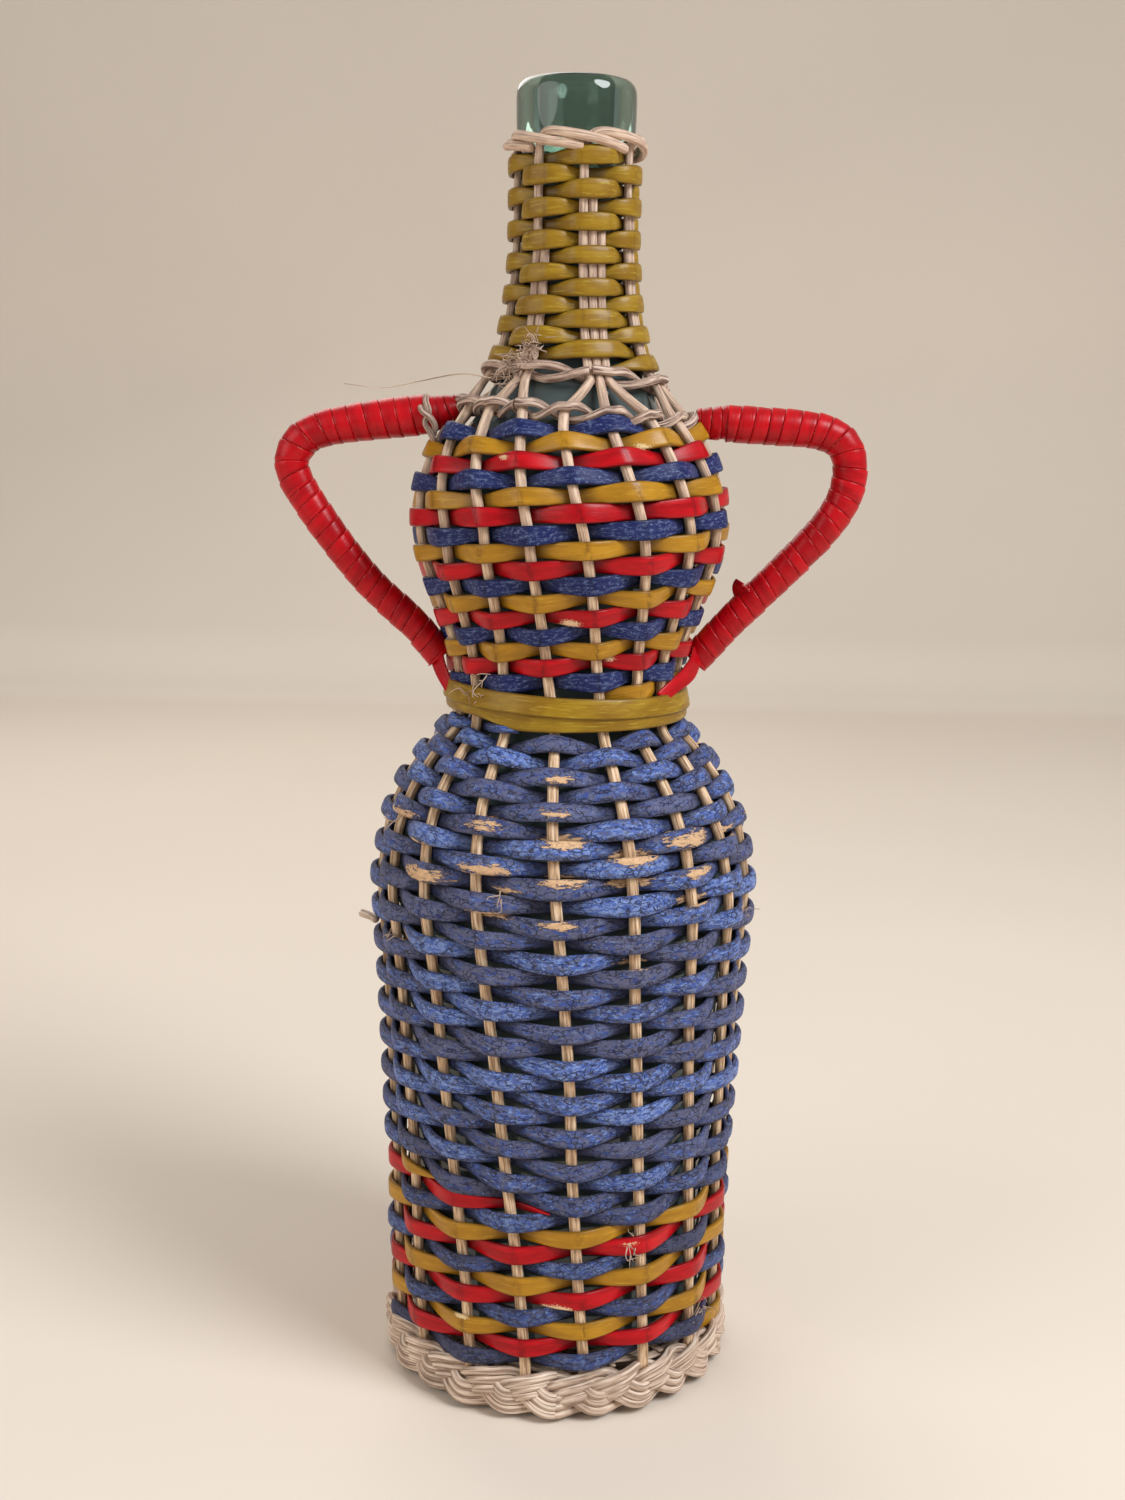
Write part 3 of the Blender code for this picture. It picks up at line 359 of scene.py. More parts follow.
class Finish:
    """A material whose nodes are joined by short calls. Values that don't vary stay on the shader."""

    def __init__(self, name, roughness, specular=0.5):
        self.material = bpy.data.materials.new(name)
        self.material.use_nodes = True
        self.tree = self.material.node_tree
        self.shader = self.tree.nodes["Principled BSDF"]
        self.shader.inputs["Roughness"].default_value = roughness
        self.shader.inputs["Specular IOR Level"].default_value = specular

    def node(self, kind, inputs=None, **settings):
        made = self.tree.nodes.new(kind)
        for key, value in settings.items():
            setattr(made, key, value)
        for key, value in (inputs or {}).items():
            self.join(value, made.inputs[key])
        return made

    def join(self, value, socket):
        if isinstance(value, bpy.types.NodeSocket):
            self.tree.links.new(value, socket)
        elif isinstance(value, tuple) and socket.type == "RGBA":
            socket.default_value = (*value, 1.0)
        else:
            socket.default_value = value

    def fact(self, name):
        return self.node("ShaderNodeAttribute", attribute_name=name).outputs["Fac"]

    def along(self, stretch, across=1.0):
        """The UV map with its long way squeezed by stretch, so that what reads it is drawn out lengthwise."""
        uv = self.node("ShaderNodeUVMap", uv_map="UVMap").outputs["UV"]
        scale = Vector((stretch, across, 1.0))
        return self.node("ShaderNodeMapping", {"Vector": uv, "Scale": scale}).outputs["Vector"]

    def place(self):
        return self.node("ShaderNodeTexCoord").outputs["Object"]

    def height(self):
        return self.node("ShaderNodeSeparateXYZ", {"Vector": self.place()}).outputs["Z"]

    def noise(self, where, scale, detail=4.0, rough=0.6):
        inputs = {"Vector": where, "Scale": scale, "Detail": detail, "Roughness": rough}
        return self.node("ShaderNodeTexNoise", inputs).outputs["Fac"]

    def cells(self, where, scale):
        inputs = {"Vector": where, "Scale": scale}
        return self.node("ShaderNodeTexVoronoi", inputs, feature="DISTANCE_TO_EDGE").outputs["Distance"]

    def tone(self):
        """A value of its own for each span of a weaver between the two stakes that it passes behind."""
        inputs = {"W": self.fact("span")}
        return self.node("ShaderNodeTexWhiteNoise", inputs, noise_dimensions="1D").outputs["Value"]

    def band(self, value, low, high):
        """0 below low, 1 above high, smooth between; the other way round if low is the larger."""
        inputs = {"Value": value, "From Min": low, "From Max": high}
        made = self.node("ShaderNodeMapRange", inputs, interpolation_type="SMOOTHSTEP")
        return made.outputs["Result"]

    def math(self, kind, one, two):
        made = self.node("ShaderNodeMath", operation=kind)
        self.join(one, made.inputs[0])
        self.join(two, made.inputs[1])
        return made.outputs["Value"]

    def times(self, one, two):
        return self.math("MULTIPLY", one, two)

    def plus(self, one, two):
        return self.math("ADD", one, two)

    def mix(self, share, low, high):
        made = self.node("ShaderNodeMix", data_type="RGBA")
        self.join(share, made.inputs["Factor"])
        self.join(low, made.inputs["A"])
        self.join(high, made.inputs["B"])
        return made.outputs["Result"]

    def over(self, low, high, share, amount):
        """The high colour laid over the low one by the share, of which only the amount counts."""
        return self.mix(self.times(share, amount), low, high)

    def bump(self, height, strength, distance):
        inputs = {"Height": height, "Strength": strength, "Distance": distance}
        return self.node("ShaderNodeBump", inputs).outputs["Normal"]

    def done(self, base, roughness=None, normal=None):
        self.join(base, self.shader.inputs["Base Color"])
        if roughness is not None:
            self.join(roughness, self.shader.inputs["Roughness"])
        if normal is not None:
            self.join(normal, self.shader.inputs["Normal"])
        return self.material


def bare_willow(name, mid, pale, dark, grime, weathered=None):
    """Bare rods: lengthwise grain, grooves that hold the grime, and a weathered tint above the bulb."""
    finish = Finish(name, 0.72, 0.3)
    grain = finish.noise(finish.along(0.2), 10.0, 5.0, 0.65)
    lines = finish.noise(finish.along(0.05), 15.0, 3.0, 0.6)
    blotch = finish.noise(finish.place(), 80.0, 3.0, 0.55)
    groove = finish.band(lines, 0.47, 0.38)
    base = finish.mix(finish.band(grain, 0.34, 0.62), dark, mid)
    base = finish.mix(finish.band(lines, 0.50, 0.64), base, pale)
    base = finish.over(base, grime, finish.band(blotch, 0.52, 0.78), 0.5)
    base = finish.over(base, grime, groove, 0.6)
    if weathered:
        base = finish.over(base, weathered, finish.band(finish.height(), 0.17, 0.262), 0.38)
    height = finish.plus(finish.times(grain, 0.6), finish.times(groove, -0.9))
    return finish.done(base, normal=finish.bump(height, 0.7, 0.0004))


def painted_rod(name, deep, bright, light, primer, dark, wood):
    """Thin old paint on round rods: blue islands on grey, crazed, painted shade in dips, gone in patches."""
    finish = Finish(name, 0.55, 0.35)
    edge, bare, crest = (finish.fact(fact) for fact in ("edge", "bare", "crest"))
    tone = finish.tone()
    broad = finish.noise(finish.along(0.35), 2.2, 3.0, 0.55)
    islands = finish.noise(finish.along(0.42), 8.0, 6.0, 0.78)
    fine = finish.noise(finish.along(0.7), 26.0, 4.0, 0.7)
    paint = finish.mix(finish.band(finish.plus(broad, finish.times(tone, 0.24)), 0.46, 0.72), deep, bright)
    # Pale patches at random: partly lighter paint, partly painted highlights.
    lit = finish.plus(finish.noise(finish.along(0.4), 11.0, 6.0, 0.78), finish.times(tone, 0.10))
    lit = finish.band(lit, 0.57, 0.60)
    paint = finish.over(paint, light, lit, 0.7)
    scuffed = finish.plus(islands, finish.plus(finish.times(edge, 0.10), finish.times(tone, -0.16)))
    scuffed = finish.band(scuffed, 0.46, 0.49)
    veil = finish.over(primer, dark, finish.band(fine, 0.54, 0.46), 0.45)
    base = finish.over(paint, veil, scuffed, 0.82)
    # Darker towards the bottom, from 85 mm down to 35 mm.
    base = finish.over(base, dark, finish.band(finish.height(), 0.085, 0.035), 0.45)
    cracks = finish.band(finish.cells(finish.along(0.6), 9.0), 0.12, 0.04)
    craze = finish.times(cracks, finish.band(finish.noise(finish.along(0.4), 6.0, 5.0, 0.7), 0.47, 0.54))
    base = finish.over(base, dark, craze, 0.8)
    grime = finish.times(finish.band(fine, 0.50, 0.58), finish.band(edge, 0.2, 0.9))
    base = finish.over(base, dark, grime, 0.8)
    # Painted shade: darker where the rod lies low, behind a stake or on its inner face.
    base = finish.over(base, dark, finish.band(crest, 0.46, 0.05), 0.7)
    ragged = finish.plus(finish.times(bare, 0.48), finish.noise(finish.along(0.25), 13.0, 6.0, 0.8))
    lost = finish.band(ragged, 0.84, 0.86)
    base = finish.mix(lost, base, wood)
    rim = finish.times(finish.band(ragged, 0.79, 0.84), finish.math("SUBTRACT", 1.0, lost))
    base = finish.over(base, dark, rim, 0.8)
    height = finish.plus(finish.times(fine, 0.7), finish.times(scuffed, -0.35))
    height = finish.plus(height, finish.times(craze, -0.6))
    height = finish.plus(height, finish.times(lost, -0.5))
    rough = finish.plus(finish.times(scuffed, 0.2), 0.42)
    return finish.done(base, rough, finish.bump(height, 0.7, 0.0004))


def painted_strip(name, main, deep, pale, dark, chip, gloss, streak, chips, coat=0.0, dry=0.0):
    """Flat enamel strips: lengthwise streaks, a fold over each stake, chipped edges, painted shade in dips."""
    finish = Finish(name, gloss, 0.2)
    finish.shader.inputs["Coat Weight"].default_value = coat
    finish.shader.inputs["Coat Roughness"].default_value = 0.18
    crest, edge, fold, bare = (finish.fact(fact) for fact in ("crest", "edge", "fold", "bare"))
    wide = finish.noise(finish.along(0.3), 2.6, 3.0, 0.55)
    streaks = finish.noise(finish.along(0.10), 16.0, 4.0, 0.65)
    speck = finish.noise(finish.along(0.8), 30.0, 4.0, 0.7)
    base = finish.mix(finish.band(wide, 0.35, 0.68), deep, main)
    base = finish.over(base, deep, finish.tone(), 0.3)
    base = finish.over(base, pale, finish.band(streaks, 0.52, 0.68), streak)
    brushed = finish.band(finish.noise(finish.along(0.5), 13.0, 6.0, 0.78), 0.52, 0.60)
    base = finish.over(base, pale, brushed, dry)
    # Darker along both edges of the strip.
    base = finish.over(base, dark, finish.band(edge, 0.72, 1.0), 0.5)
    # Painted shade: darker where the strip lies low, behind a stake or on its inner face.
    base = finish.over(base, dark, finish.band(crest, 0.36, 0.0), 0.7)
    broken = finish.band(finish.noise(finish.along(1.0, 0.5), 9.0, 2.0), 0.40, 0.55)
    base = finish.over(base, dark, finish.times(fold, broken), 0.6)
    lost = finish.plus(speck, finish.times(finish.band(edge, 0.6, 1.0), 0.06))
    lost = finish.band(finish.plus(lost, finish.times(bare, 0.5)), chips, chips + 0.03)
    base = finish.mix(lost, base, chip)
    height = finish.plus(finish.times(streaks, 0.8), finish.times(lost, -0.8))
    height = finish.plus(height, finish.times(fold, -0.5))
    rough = finish.plus(finish.times(finish.band(speck, 0.4, 0.8), 0.2), gloss)
    return finish.done(base, rough, finish.bump(height, 0.4, 0.00025))


def green_glass(name, mouth, rim, body):
    """Bottle glass: clear green at the mouth, painted shade at its rim and under the casing, dusty, wavy."""
    finish = Finish(name, 0.03, 0.5)
    finish.shader.inputs["IOR"].default_value = 1.5
    # Under the casing the glass lets little light through and takes the body colour, a painted shade.
    above = finish.band(finish.height(), 0.296, 0.312)
    clear = finish.plus(finish.times(above, 0.85), 0.15)
    finish.join(clear, finish.shader.inputs["Transmission Weight"])
    dust = finish.noise(finish.place(), 260.0, 5.0, 0.65)
    waves = finish.noise(finish.place(), 70.0, 1.0, 0.3)
    rough = finish.plus(finish.times(finish.band(dust, 0.5, 0.75), 0.16), 0.03)
    # Painted shade: the rim colour where the glass is seen edge-on.
    facing = finish.node("ShaderNodeLayerWeight", {"Blend": 0.5}).outputs["Facing"]
    base = finish.mix(above, body, finish.mix(finish.band(facing, 0.4, 0.9), mouth, rim))
    return finish.done(base, rough, finish.bump(waves, 0.05, 0.0006))


# Each finish: its maker and name, the setting of its main colour, the screen colours after it, and its values
RECIPES = {
    "willow": (bare_willow, "bare_willow", "willow_colour",
               ((240, 214, 182), (186, 146, 110), (132, 98, 78), (206, 186, 180)), {}),
    "grey_willow": (bare_willow, "grey_willow", "neck_willow_colour",
                    ((226, 204, 186), (134, 104, 90), (84, 60, 56)), {}),
    "plait": (bare_willow, "plait_willow", "plait_colour",
              ((240, 224, 206), (190, 162, 142), (124, 98, 84)), {}),
    "blue_rod": (painted_rod, "blue_rod_paint", "body_blue",
                 ((72, 100, 178), (140, 164, 216), (112, 112, 136), (26, 26, 46), (226, 184, 142)), {}),
    "blue_strip": (painted_strip, "blue_strip_paint", "bulb_blue",
                   ((24, 32, 84), (114, 130, 168), (14, 16, 34), (196, 176, 156)),
                   {"gloss": 0.42, "streak": 0.3, "chips": 0.84, "dry": 0.62}),
    "red": (painted_strip, "red_strip_paint", "red",
            ((158, 2, 14), (224, 36, 44), (84, 2, 10), (236, 198, 158)),
            {"gloss": 0.3, "streak": 0.22, "chips": 0.80, "coat": 0.08}),
    "ochre": (painted_strip, "ochre_strip_paint", "ochre",
              ((160, 112, 20), (216, 172, 64), (92, 60, 16), (222, 192, 140)),
              {"gloss": 0.36, "streak": 0.35, "chips": 0.82, "coat": 0.2}),
    "olive": (painted_strip, "olive_strip_paint", "olive",
              ((134, 98, 16), (190, 166, 60), (78, 54, 16), (214, 186, 130)),
              {"gloss": 0.38, "streak": 0.5, "chips": 0.84, "coat": 0.15}),
    # The glass's rim and body colours are painted shade.
    "glass": (green_glass, "green_glass", "glass_colour", ((24, 50, 42), (78, 90, 90)), {}),
}
FINISHES = {}


def finish_for(name):
    """The finish of that name, made once from the panel's colours."""
    if name not in FINISHES:
        make, title, setting, tints, values = RECIPES[name]
        main = tuple(getattr(bpy.context.scene.wicker_bottle, setting))
        FINISHES[name] = make(title, main, *(colour(*tint) for tint in tints), **values)
    return FINISHES[name]


# Weaving

# Places where the paint has gone, as (degrees, height in millimetres, size in millimetres)
BODY_SPOTS = (
    (42, 149, 5.0), (-46, 139, 5.0), (-25, 153, 3.2), (-23, 143, 4.2), (21, 146, 4.0), (20, 140, 3.6),
    (-2, 164, 2.6), (-3, 157, 2.8), (0, 150, 3.4), (0, 141, 3.2), (-22, 132, 3.2), (-1, 131, 2.6),
    (-65, 151, 4.0), (-57, 121, 2.8), (42, 134, 3.0), (43, 141, 3.4), (21, 120, 2.6), (-17, 138, 2.2),
    (-49, 146, 2.6), (68, 128, 2.6), (110, 142, 5.0), (150, 150, 4.5), (-110, 138, 4.5), (-150, 146, 4.0),
    (178, 132, 4.0), (-82, 128, 3.0), (85, 150, 3.2), (64, 148, 2.8),
)
FOOT_SPOTS = ((1, 30, 1.7), (24, 46, 1.4), (-32, 24, 1.2), (-3, 30, 0.9), (140, 36, 1.6), (-120, 28, 1.4))
BULB_SPOTS = ((1, 201, 1.8), (20, 192, 1.2), (-25, 240, 1.2), (30, 243, 1.4), (120, 215, 1.6), (-140, 205, 1.6))

# How fast a spot fades: for each squared degree round, and for each squared millimetre up
SPOT_ROUND = 0.10
SPOT_UP = 3.0

# A weaver's clearance off the stakes, and how far it wanders along them, off them, and in its share of width
WEAVE_CLEARANCE = 0.12
WEAVE_WANDER = (0.2, 0.12, 0.07)
ZIGZAG = 0.97
FOLD_WIDTH = 0.035
BODY_SECTION = oval(14, 2.7)
STRIP_SECTION = oval(16, 4.2)

# How wide a weaver is between stakes and how much more outside one, in pitches, and how sharply it bends
BODY_SHAPE = (0.97, 0.14)
FOOT_SHAPE = (0.98, 0.14)
BULB_SHAPE = (0.97, 0.13)
ROD_CREASE = 0.55
STRIP_CREASE = 0.7

# The levels, in rows, where the weavers start under the first row, and how far the blue ones go on at the end
FOOT_START = -0.8
BULB_START = -1.1
BODY_OVERRUN = 1.46
BULB_OVERRUN = 2.8

# The blue rod's share of width over its last crossings, and a strip's where it runs out after its last one
BODY_END = ((-1.2 * STAKES, -2, 0), (1.0, 0.75, 0.4))
BODY_PITCH_LIMIT = 1.14
RUN_OUT = ((-2, -1, 0, 0.35, 0.62), (1.0, 0.9, 0.68, 0.4, 0.08))
RUN_OUT_DROP = 0.45


def worn(points, spots):
    """How worn each point is: 1 in the middle of a spot, fading out across its size."""
    degrees = np.degrees(np.arctan2(points[..., 0], -points[..., 1]))
    height = points[..., 2] / MM
    share = np.zeros(height.shape)
    for angle, level, size in spots:
        off = (degrees - angle) ** 2 * SPOT_ROUND + (height - level) ** 2 * SPOT_UP
        share = np.maximum(share, np.exp(-off / size**2))
    return share


def woven_facts(side, span, fold, section):
    """A weaver's facts: how far out it lies, how near its edge, its span's number and its fold over a stake."""
    across, along = section
    return {
        # How far out it lies: the finishes paint shade where this is low.
        "crest": (0.5 + 0.5 * side)[:, None] * (0.5 + 0.5 * across)[None, :],
        "edge": np.abs(along)[None, :],
        "span": np.floor(span)[:, None],
        "fold": fold[:, None],
    }


def weave(title, finish, crossings, line, lengths, pitch, thickness, section, shape, crease,
          widths=1.0, first_stake=0, spots=(), seed=0):
    """A weaver: its lift is a cosine of the crossing number, drawn towards a zigzag by the crease share.

    Its shape is its width between stakes and how much more it is outside one, in pitches.
    """
    side = np.cos(math.pi * (crossings + line))
    zigzag = np.arcsin(ZIGZAG * side) / np.arcsin(ZIGZAG)
    wave = side * (1 - crease) + zigzag * crease
    depth = stake_size(profile(lengths)[1])[0]
    between, swell = shape
    along, off, wider = (wander(len(crossings), crossings, amount, seed + k)
                         for k, amount in enumerate(WEAVE_WANDER))
    lengths = lengths + along
    lift = (depth / 2 + WEAVE_CLEARANCE + thickness / 2) * wave + off
    wide = pitch * (between + swell * side) * (1 + wider) * widths
    index = (crossings + first_stake)[:, None]
    rings = profile_rings(lambda height: stake_angle(index, height), lengths, lift, thickness, wide, section)
    away = np.mod(crossings + line + 1, 2) - 1
    facts = woven_facts(side, (crossings + line + 1) / 2, np.exp(-(away / FOLD_WIDTH) ** 2), section)
    facts["bare"] = worn(rings, spots)
    return grid_piece(f"{title}_weave", rings, finish_for(finish), [f"{title}_weaver"], facts=facts)


def even_run(first, last, steps):
    """Crossing numbers from first to last, each crossing cut into steps."""
    return np.linspace(first, last, int(round((last - first) * steps)) + 1)


def colour_level(crossings, line):
    """Rows above the first blue one at the front: three strands climb together, three rows a turn."""
    return line + COLOURS * crossings / STAKES


def foot_length(level):
    """Length along the profile of a level of the foot's rows."""
    return length_at(FOOT_FIRST) + FOOT_PITCH * level


def first_crossing(line, level):
    """The first crossing at which a line has climbed to a level."""
    return math.ceil((level - line) * STAKES / COLOURS)


def body_length(crossings):
    """The blue rod's place: on the colour rows at first, then a row a turn above their uneven top."""
    turns = (crossings - FOOT_ROWS * STAKES / COLOURS) / STAKES
    share = np.mod(turns, 1.0)
    steps = sum(np.clip((share - (last % STAKES) / STAKES) * STAKES / 2 + 0.5, 0, 1)
                for last in (OCHRE_LAST, RED_LAST))
    floor = foot_length(FOOT_ROWS + (COLOURS - 1) * share - steps)
    above = floor + turns * (length_at(BODY_LAST) - floor) / BODY_TURNS
    return np.where(turns < 0, foot_length(colour_level(crossings, 0)), above)


class BottleOperator:
    bl_options = {"REGISTER", "UNDO"}


class WICKER_OT_body(BottleOperator, bpy.types.Operator):
    """Weave the body: the blue rod from the foot to the waist, and the strips that share its first rows"""

    bl_idname = "wicker.body"
    bl_label = "Body weave"

    def execute(self, context):
        s = context.scene.wicker_bottle
        last = STAKES * (FOOT_ROWS / COLOURS + BODY_TURNS + BODY_OVERRUN)
        crossings = even_run(first_crossing(0, FOOT_START), last, 10)
        lengths = body_length(crossings)
        risen = np.minimum(body_length(crossings + STAKES) - lengths, FOOT_PITCH * BODY_PITCH_LIMIT)
        pitch = np.where(crossings <= FOOT_ROWS * STAKES / COLOURS, FOOT_PITCH, risen)
        widths = np.interp(crossings, last + np.array(BODY_END[0]), BODY_END[1])
        weave("body_blue", "blue_rod", crossings, 0, lengths, pitch, s.rod_depth / MM,
              BODY_SECTION, BODY_SHAPE, ROD_CREASE, widths, spots=BODY_SPOTS, seed=10)
        for title, line, last, seed in (("red", 1, RED_LAST, 20), ("ochre", 2, OCHRE_LAST, 21)):
            crossings = even_run(first_crossing(line, FOOT_START), last + RUN_OUT[0][-1], 12)
            widths = np.interp(crossings, last + np.array(RUN_OUT[0]), RUN_OUT[1])
            lengths = foot_length(colour_level(crossings, line) - (1 - widths) * RUN_OUT_DROP)
            weave(f"foot_{title}", title, crossings, line, lengths, FOOT_PITCH,
                  s.strip_depth / MM, STRIP_SECTION, FOOT_SHAPE, STRIP_CREASE, widths, spots=FOOT_SPOTS,
                  seed=seed)
        return {"FINISHED"}


class WICKER_OT_bulb(BottleOperator, bpy.types.Operator):
    """Weave the bulb: blue, red and ochre strips that chase each other, a row apart"""

    bl_idname = "wicker.bulb"
    bl_label = "Bulb weave"

    def execute(self, context):
        s = context.scene.wicker_bottle
        start = length_at(BULB_FIRST)
        top = (length_at(BULB_LAST) - start) / BULB_PITCH
        for line, (title, finish) in enumerate((("blue", "blue_strip"), ("red", "red"), ("ochre", "ochre"))):
            last = math.floor((top - line) * STAKES / COLOURS) + (BULB_OVERRUN if line == 0 else 0)
            crossings = even_run(first_crossing(line, BULB_START), last, 12)
            lengths = start + BULB_PITCH * colour_level(crossings, line)
            weave(f"bulb_{title}", finish, crossings, line, lengths, BULB_PITCH,
                  s.strip_depth / MM, STRIP_SECTION, BULB_SHAPE, STRIP_CREASE, first_stake=BULB_FIRST_STAKE,
                  spots=BULB_SPOTS, seed=30 + line)
        return {"FINISHED"}


# The neck's strip: what it lies past a group's outer stakes, its clearance, its width and its narrow start
GROUP_MARGIN = 0.7
NECK_CLEARANCE = 0.1
NECK_OVERRUN = 0.9
NECK_SHAPE = (0.97, 0.27)
NECK_NARROW = 0.35
NECK_FOLD = (0.6, 0.02)
NECK_SECTION = oval(16, 3.0)


def half_group(groups, lengths):
    """Half the width of each sample's group, as a share of the step between groups."""
    widest = np.array([max(group_spots(group)) for group in range(GROUPS)])[np.mod(groups, GROUPS).astype(int)]
    return (widest * NECK_STAKE_STEP + GROUP_MARGIN) / profile(lengths)[0] / (TURN / GROUPS)


class WICKER_OT_neck(BottleOperator, bpy.types.Operator):
    """Weave the neck: one strip round the seven groups of stakes, a row a turn, flat across each group"""

    bl_idname = "wicker.neck"
    bl_label = "Neck weave"

    def execute(self, context):
        thick = context.scene.wicker_bottle.neck_strip_depth / MM
        samples = even_run(NECK_START, NECK_TURNS * GROUPS + NECK_OVERRUN, 20)
        group = np.round(samples)
        lengths = length_at(NECK_FIRST) + NECK_PITCH * samples / GROUPS
        half = half_group(group, lengths)
        away = np.clip((np.abs(samples - group) - half) / (0.5 - half), 0, 1)
        wave = np.cos(math.pi * group) * np.cos(math.pi / 2 * away)
        side = np.cos(math.pi * samples)
        off, along, wider = (wander(len(samples), samples, amount, seed)
                             for amount, seed in ((0.1, 41), (0.15, 42), (0.06, 43)))
        lift = (NECK_STAKE / 2 + NECK_CLEARANCE + thick / 2) * wave + off
        between, swell = NECK_SHAPE
        widths = np.interp(samples, (NECK_START, NECK_START + 0.5), (NECK_NARROW, 1.0))
        wide = NECK_PITCH * (between + swell * side) * (1 + wider) * widths
        angles = group_angle(samples)[:, None]
        rings = profile_rings(lambda height: angles, lengths + along, lift, thick, wide, NECK_SECTION)
        edge = np.abs(np.mod(samples + 1, 2) - 1) - half
        fold = NECK_FOLD[0] * np.exp(-(edge / NECK_FOLD[1]) ** 2)
        facts = woven_facts(side, (samples + 1) / 2, fold, NECK_SECTION)
        grid_piece("neck_weave", rings, finish_for("olive"), ["neck_weaver"], facts=facts)
        return {"FINISHED"}


# Stakes and twinings

# Where the stakes that aren't a group's first stop, as shares of the neck's height above its first row
SHORT_TOPS = (0.62, 0.45, 0.78)
SHORT_FROM = 262.0

# The border rod past its stake: the step to the next group's, how far out, and how far above the neck's top
BORDER_COURSE = np.array([
    (0.02, 0.0, 0.4), (0.09, 0.1, 2.0), (0.26, 0.8, 3.1), (0.58, 2.0, 3.1), (1.0, 2.6, 1.9), (1.35, 2.4, 0.9),
    (1.65, 1.9, 0.2), (1.86, 1.5, -0.2),
])
BORDER_SAMPLES = 56
BORDER_ROD = (2.3, 2.1)
STAKE_SAMPLES = 220
STAKE_FOOT = 3.0
STAKE_SECTION = oval(12, 2.4)

# The twinings: their uprights, height, fall to the right, sag at the back, and samples from upright to upright
TWININGS = (("shoulder", STAKES, SHOULDER_TWINING, 2.3, 0.3, 14), ("neck", GROUPS, NECK_TWINING, 1.8, 1.2, 30))
HALF_STAKE = 0.09
TWINING_ROD = (1.9, 2.2)
TWINING_LIFT = 1.0
TWINING_RISE = 1.3
TWINING_SECTION = oval(12, 2.3)


def is_long(index):
    """The first stake of each group goes on up to the border."""
    group, spot = STAKE_PLACES[index]
    return spot == group_spots(group)[0]


def gathered_angle(group, spot, radius):
    return group_angle(group) + spot * NECK_STAKE_STEP / radius


def stake_course(index):
    """A stake's samples: angle, radius and height, from the foot to where it stops or starts to arch."""
    group, spot = STAKE_PLACES[index]
    top = NECK_TOP
    if not is_long(index):
        top = SHORT_FROM + (NECK_TOP - SHORT_FROM) * SHORT_TOPS[index % len(SHORT_TOPS)]
    length = np.linspace(-STAKE_FOOT, length_at(top), STAKE_SAMPLES)
    radius, height = profile(length)[:2]
    share = np.clip((height - SHOULDER) / (GATHERED - SHOULDER), 0, 1)
    gathered = gathered_angle(group, spot, radius)
    angle = stake_angle(index, np.minimum(height, SHOULDER)) * (1 - share) + gathered * share
    places = (length + STAKE_FOOT) / length[-1] * 11
    angle = angle + wander(12, places, 0.35, 60 + index) / radius * (1 - share)
    return angle, radius, height


def border_course(index, angle, radius, height):
    """The rod past its stake's top: up and out over the next group's stake, then down past the one after."""
    group = STAKE_PLACES[index][0]
    ahead = gathered_angle(group + 1, group_spots(group + 1)[0], radius)
    step, outs, rises = BORDER_COURSE.T
    count = len(BORDER_COURSE)
    rises = rises + (np.arange(count) > 1) * wander(count, np.arange(count), 0.25, 90 + index)
    arch = np.stack([angle + (ahead - angle) * step, radius + outs, height + rises], axis=1)
    return smooth_path(arch, BORDER_SAMPLES).T


class WICKER_OT_stakes(BottleOperator, bpy.types.Operator):
    """Make the stakes from the foot to the neck, and arch one of each group over into the border"""

    bl_idname = "wicker.stakes"
    bl_label = "Stakes and border"

    def execute(self, context):
        for index in STAKE_PLACES:
            angle, radius, height = stake_course(index)
            depth, width = stake_size(height)
            points = at(angle, radius, height)
            facing = at(angle, 1.0, 0.0) / MM
            if is_long(index):
                arch, outs, rises = border_course(index, angle[-1], radius[-1], height[-1])
                points = np.concatenate([points[:-2], at(arch, outs, rises)])
                facing = np.concatenate([facing[:-2], at(arch, 1.0, 0.45) / MM])
                places = (0, 8, BORDER_SAMPLES - 1)
                thick = np.interp(np.arange(BORDER_SAMPLES), places, (NECK_STAKE, *BORDER_ROD))
                depth = np.concatenate([depth[:-2], thick])
                width = np.concatenate([width[:-2], thick + 0.15])
            rings = path_rings(points, unit(facing), depth, width, STAKE_SECTION)
            number = index % STAKES + 1
            grid_piece(f"willow_stake_{number:02d}", rings, finish_for("willow"),
                       [f"stake_{number:02d}"])
        return {"FINISHED"}


class WICKER_OT_twinings(BottleOperator, bpy.types.Operator):
    """Twist two rods about each other round the shoulder, and two more round the foot of the neck"""

    bl_idname = "wicker.twinings"
    bl_label = "Twinings"

    def execute(self, context):
        for title, count, height, slope, sag, steps in TWININGS:
            length = length_at(height)
            samples = even_run(-0.1, count - 0.15, steps)
            nearest = np.round(samples)
            if count == STAKES:
                angles, half = stake_angle(samples, SHOULDER), HALF_STAKE
            else:
                angles, half = group_angle(samples), half_group(nearest, length)
            off = samples - nearest
            away = np.clip((np.abs(off) - half) / (0.5 - half), 0, 1) * np.sign(off) / 2
            fall = slope * np.sin(angles) + sag * (1 - np.cos(angles))
            for number in (1, 2):
                turn = math.pi * (nearest + away + number - 1)
                lift = (stake_size(height)[0] / 2 + TWINING_LIFT) * np.cos(turn)
                rise = TWINING_RISE * np.sin(turn) + wander(len(samples), samples, 0.3, 50 + number)
                rings = profile_rings(lambda level: angles[:, None], length + rise - fall, lift, *TWINING_ROD,
                                      TWINING_SECTION)
                grid_piece(f"{title}_twined_rod_{number}", rings, finish_for("grey_willow"),
                           [f"{title}_twining_{number}"])
        return {"FINISHED"}


# Waist band: it starts, steps up to its second turn and ends at the back

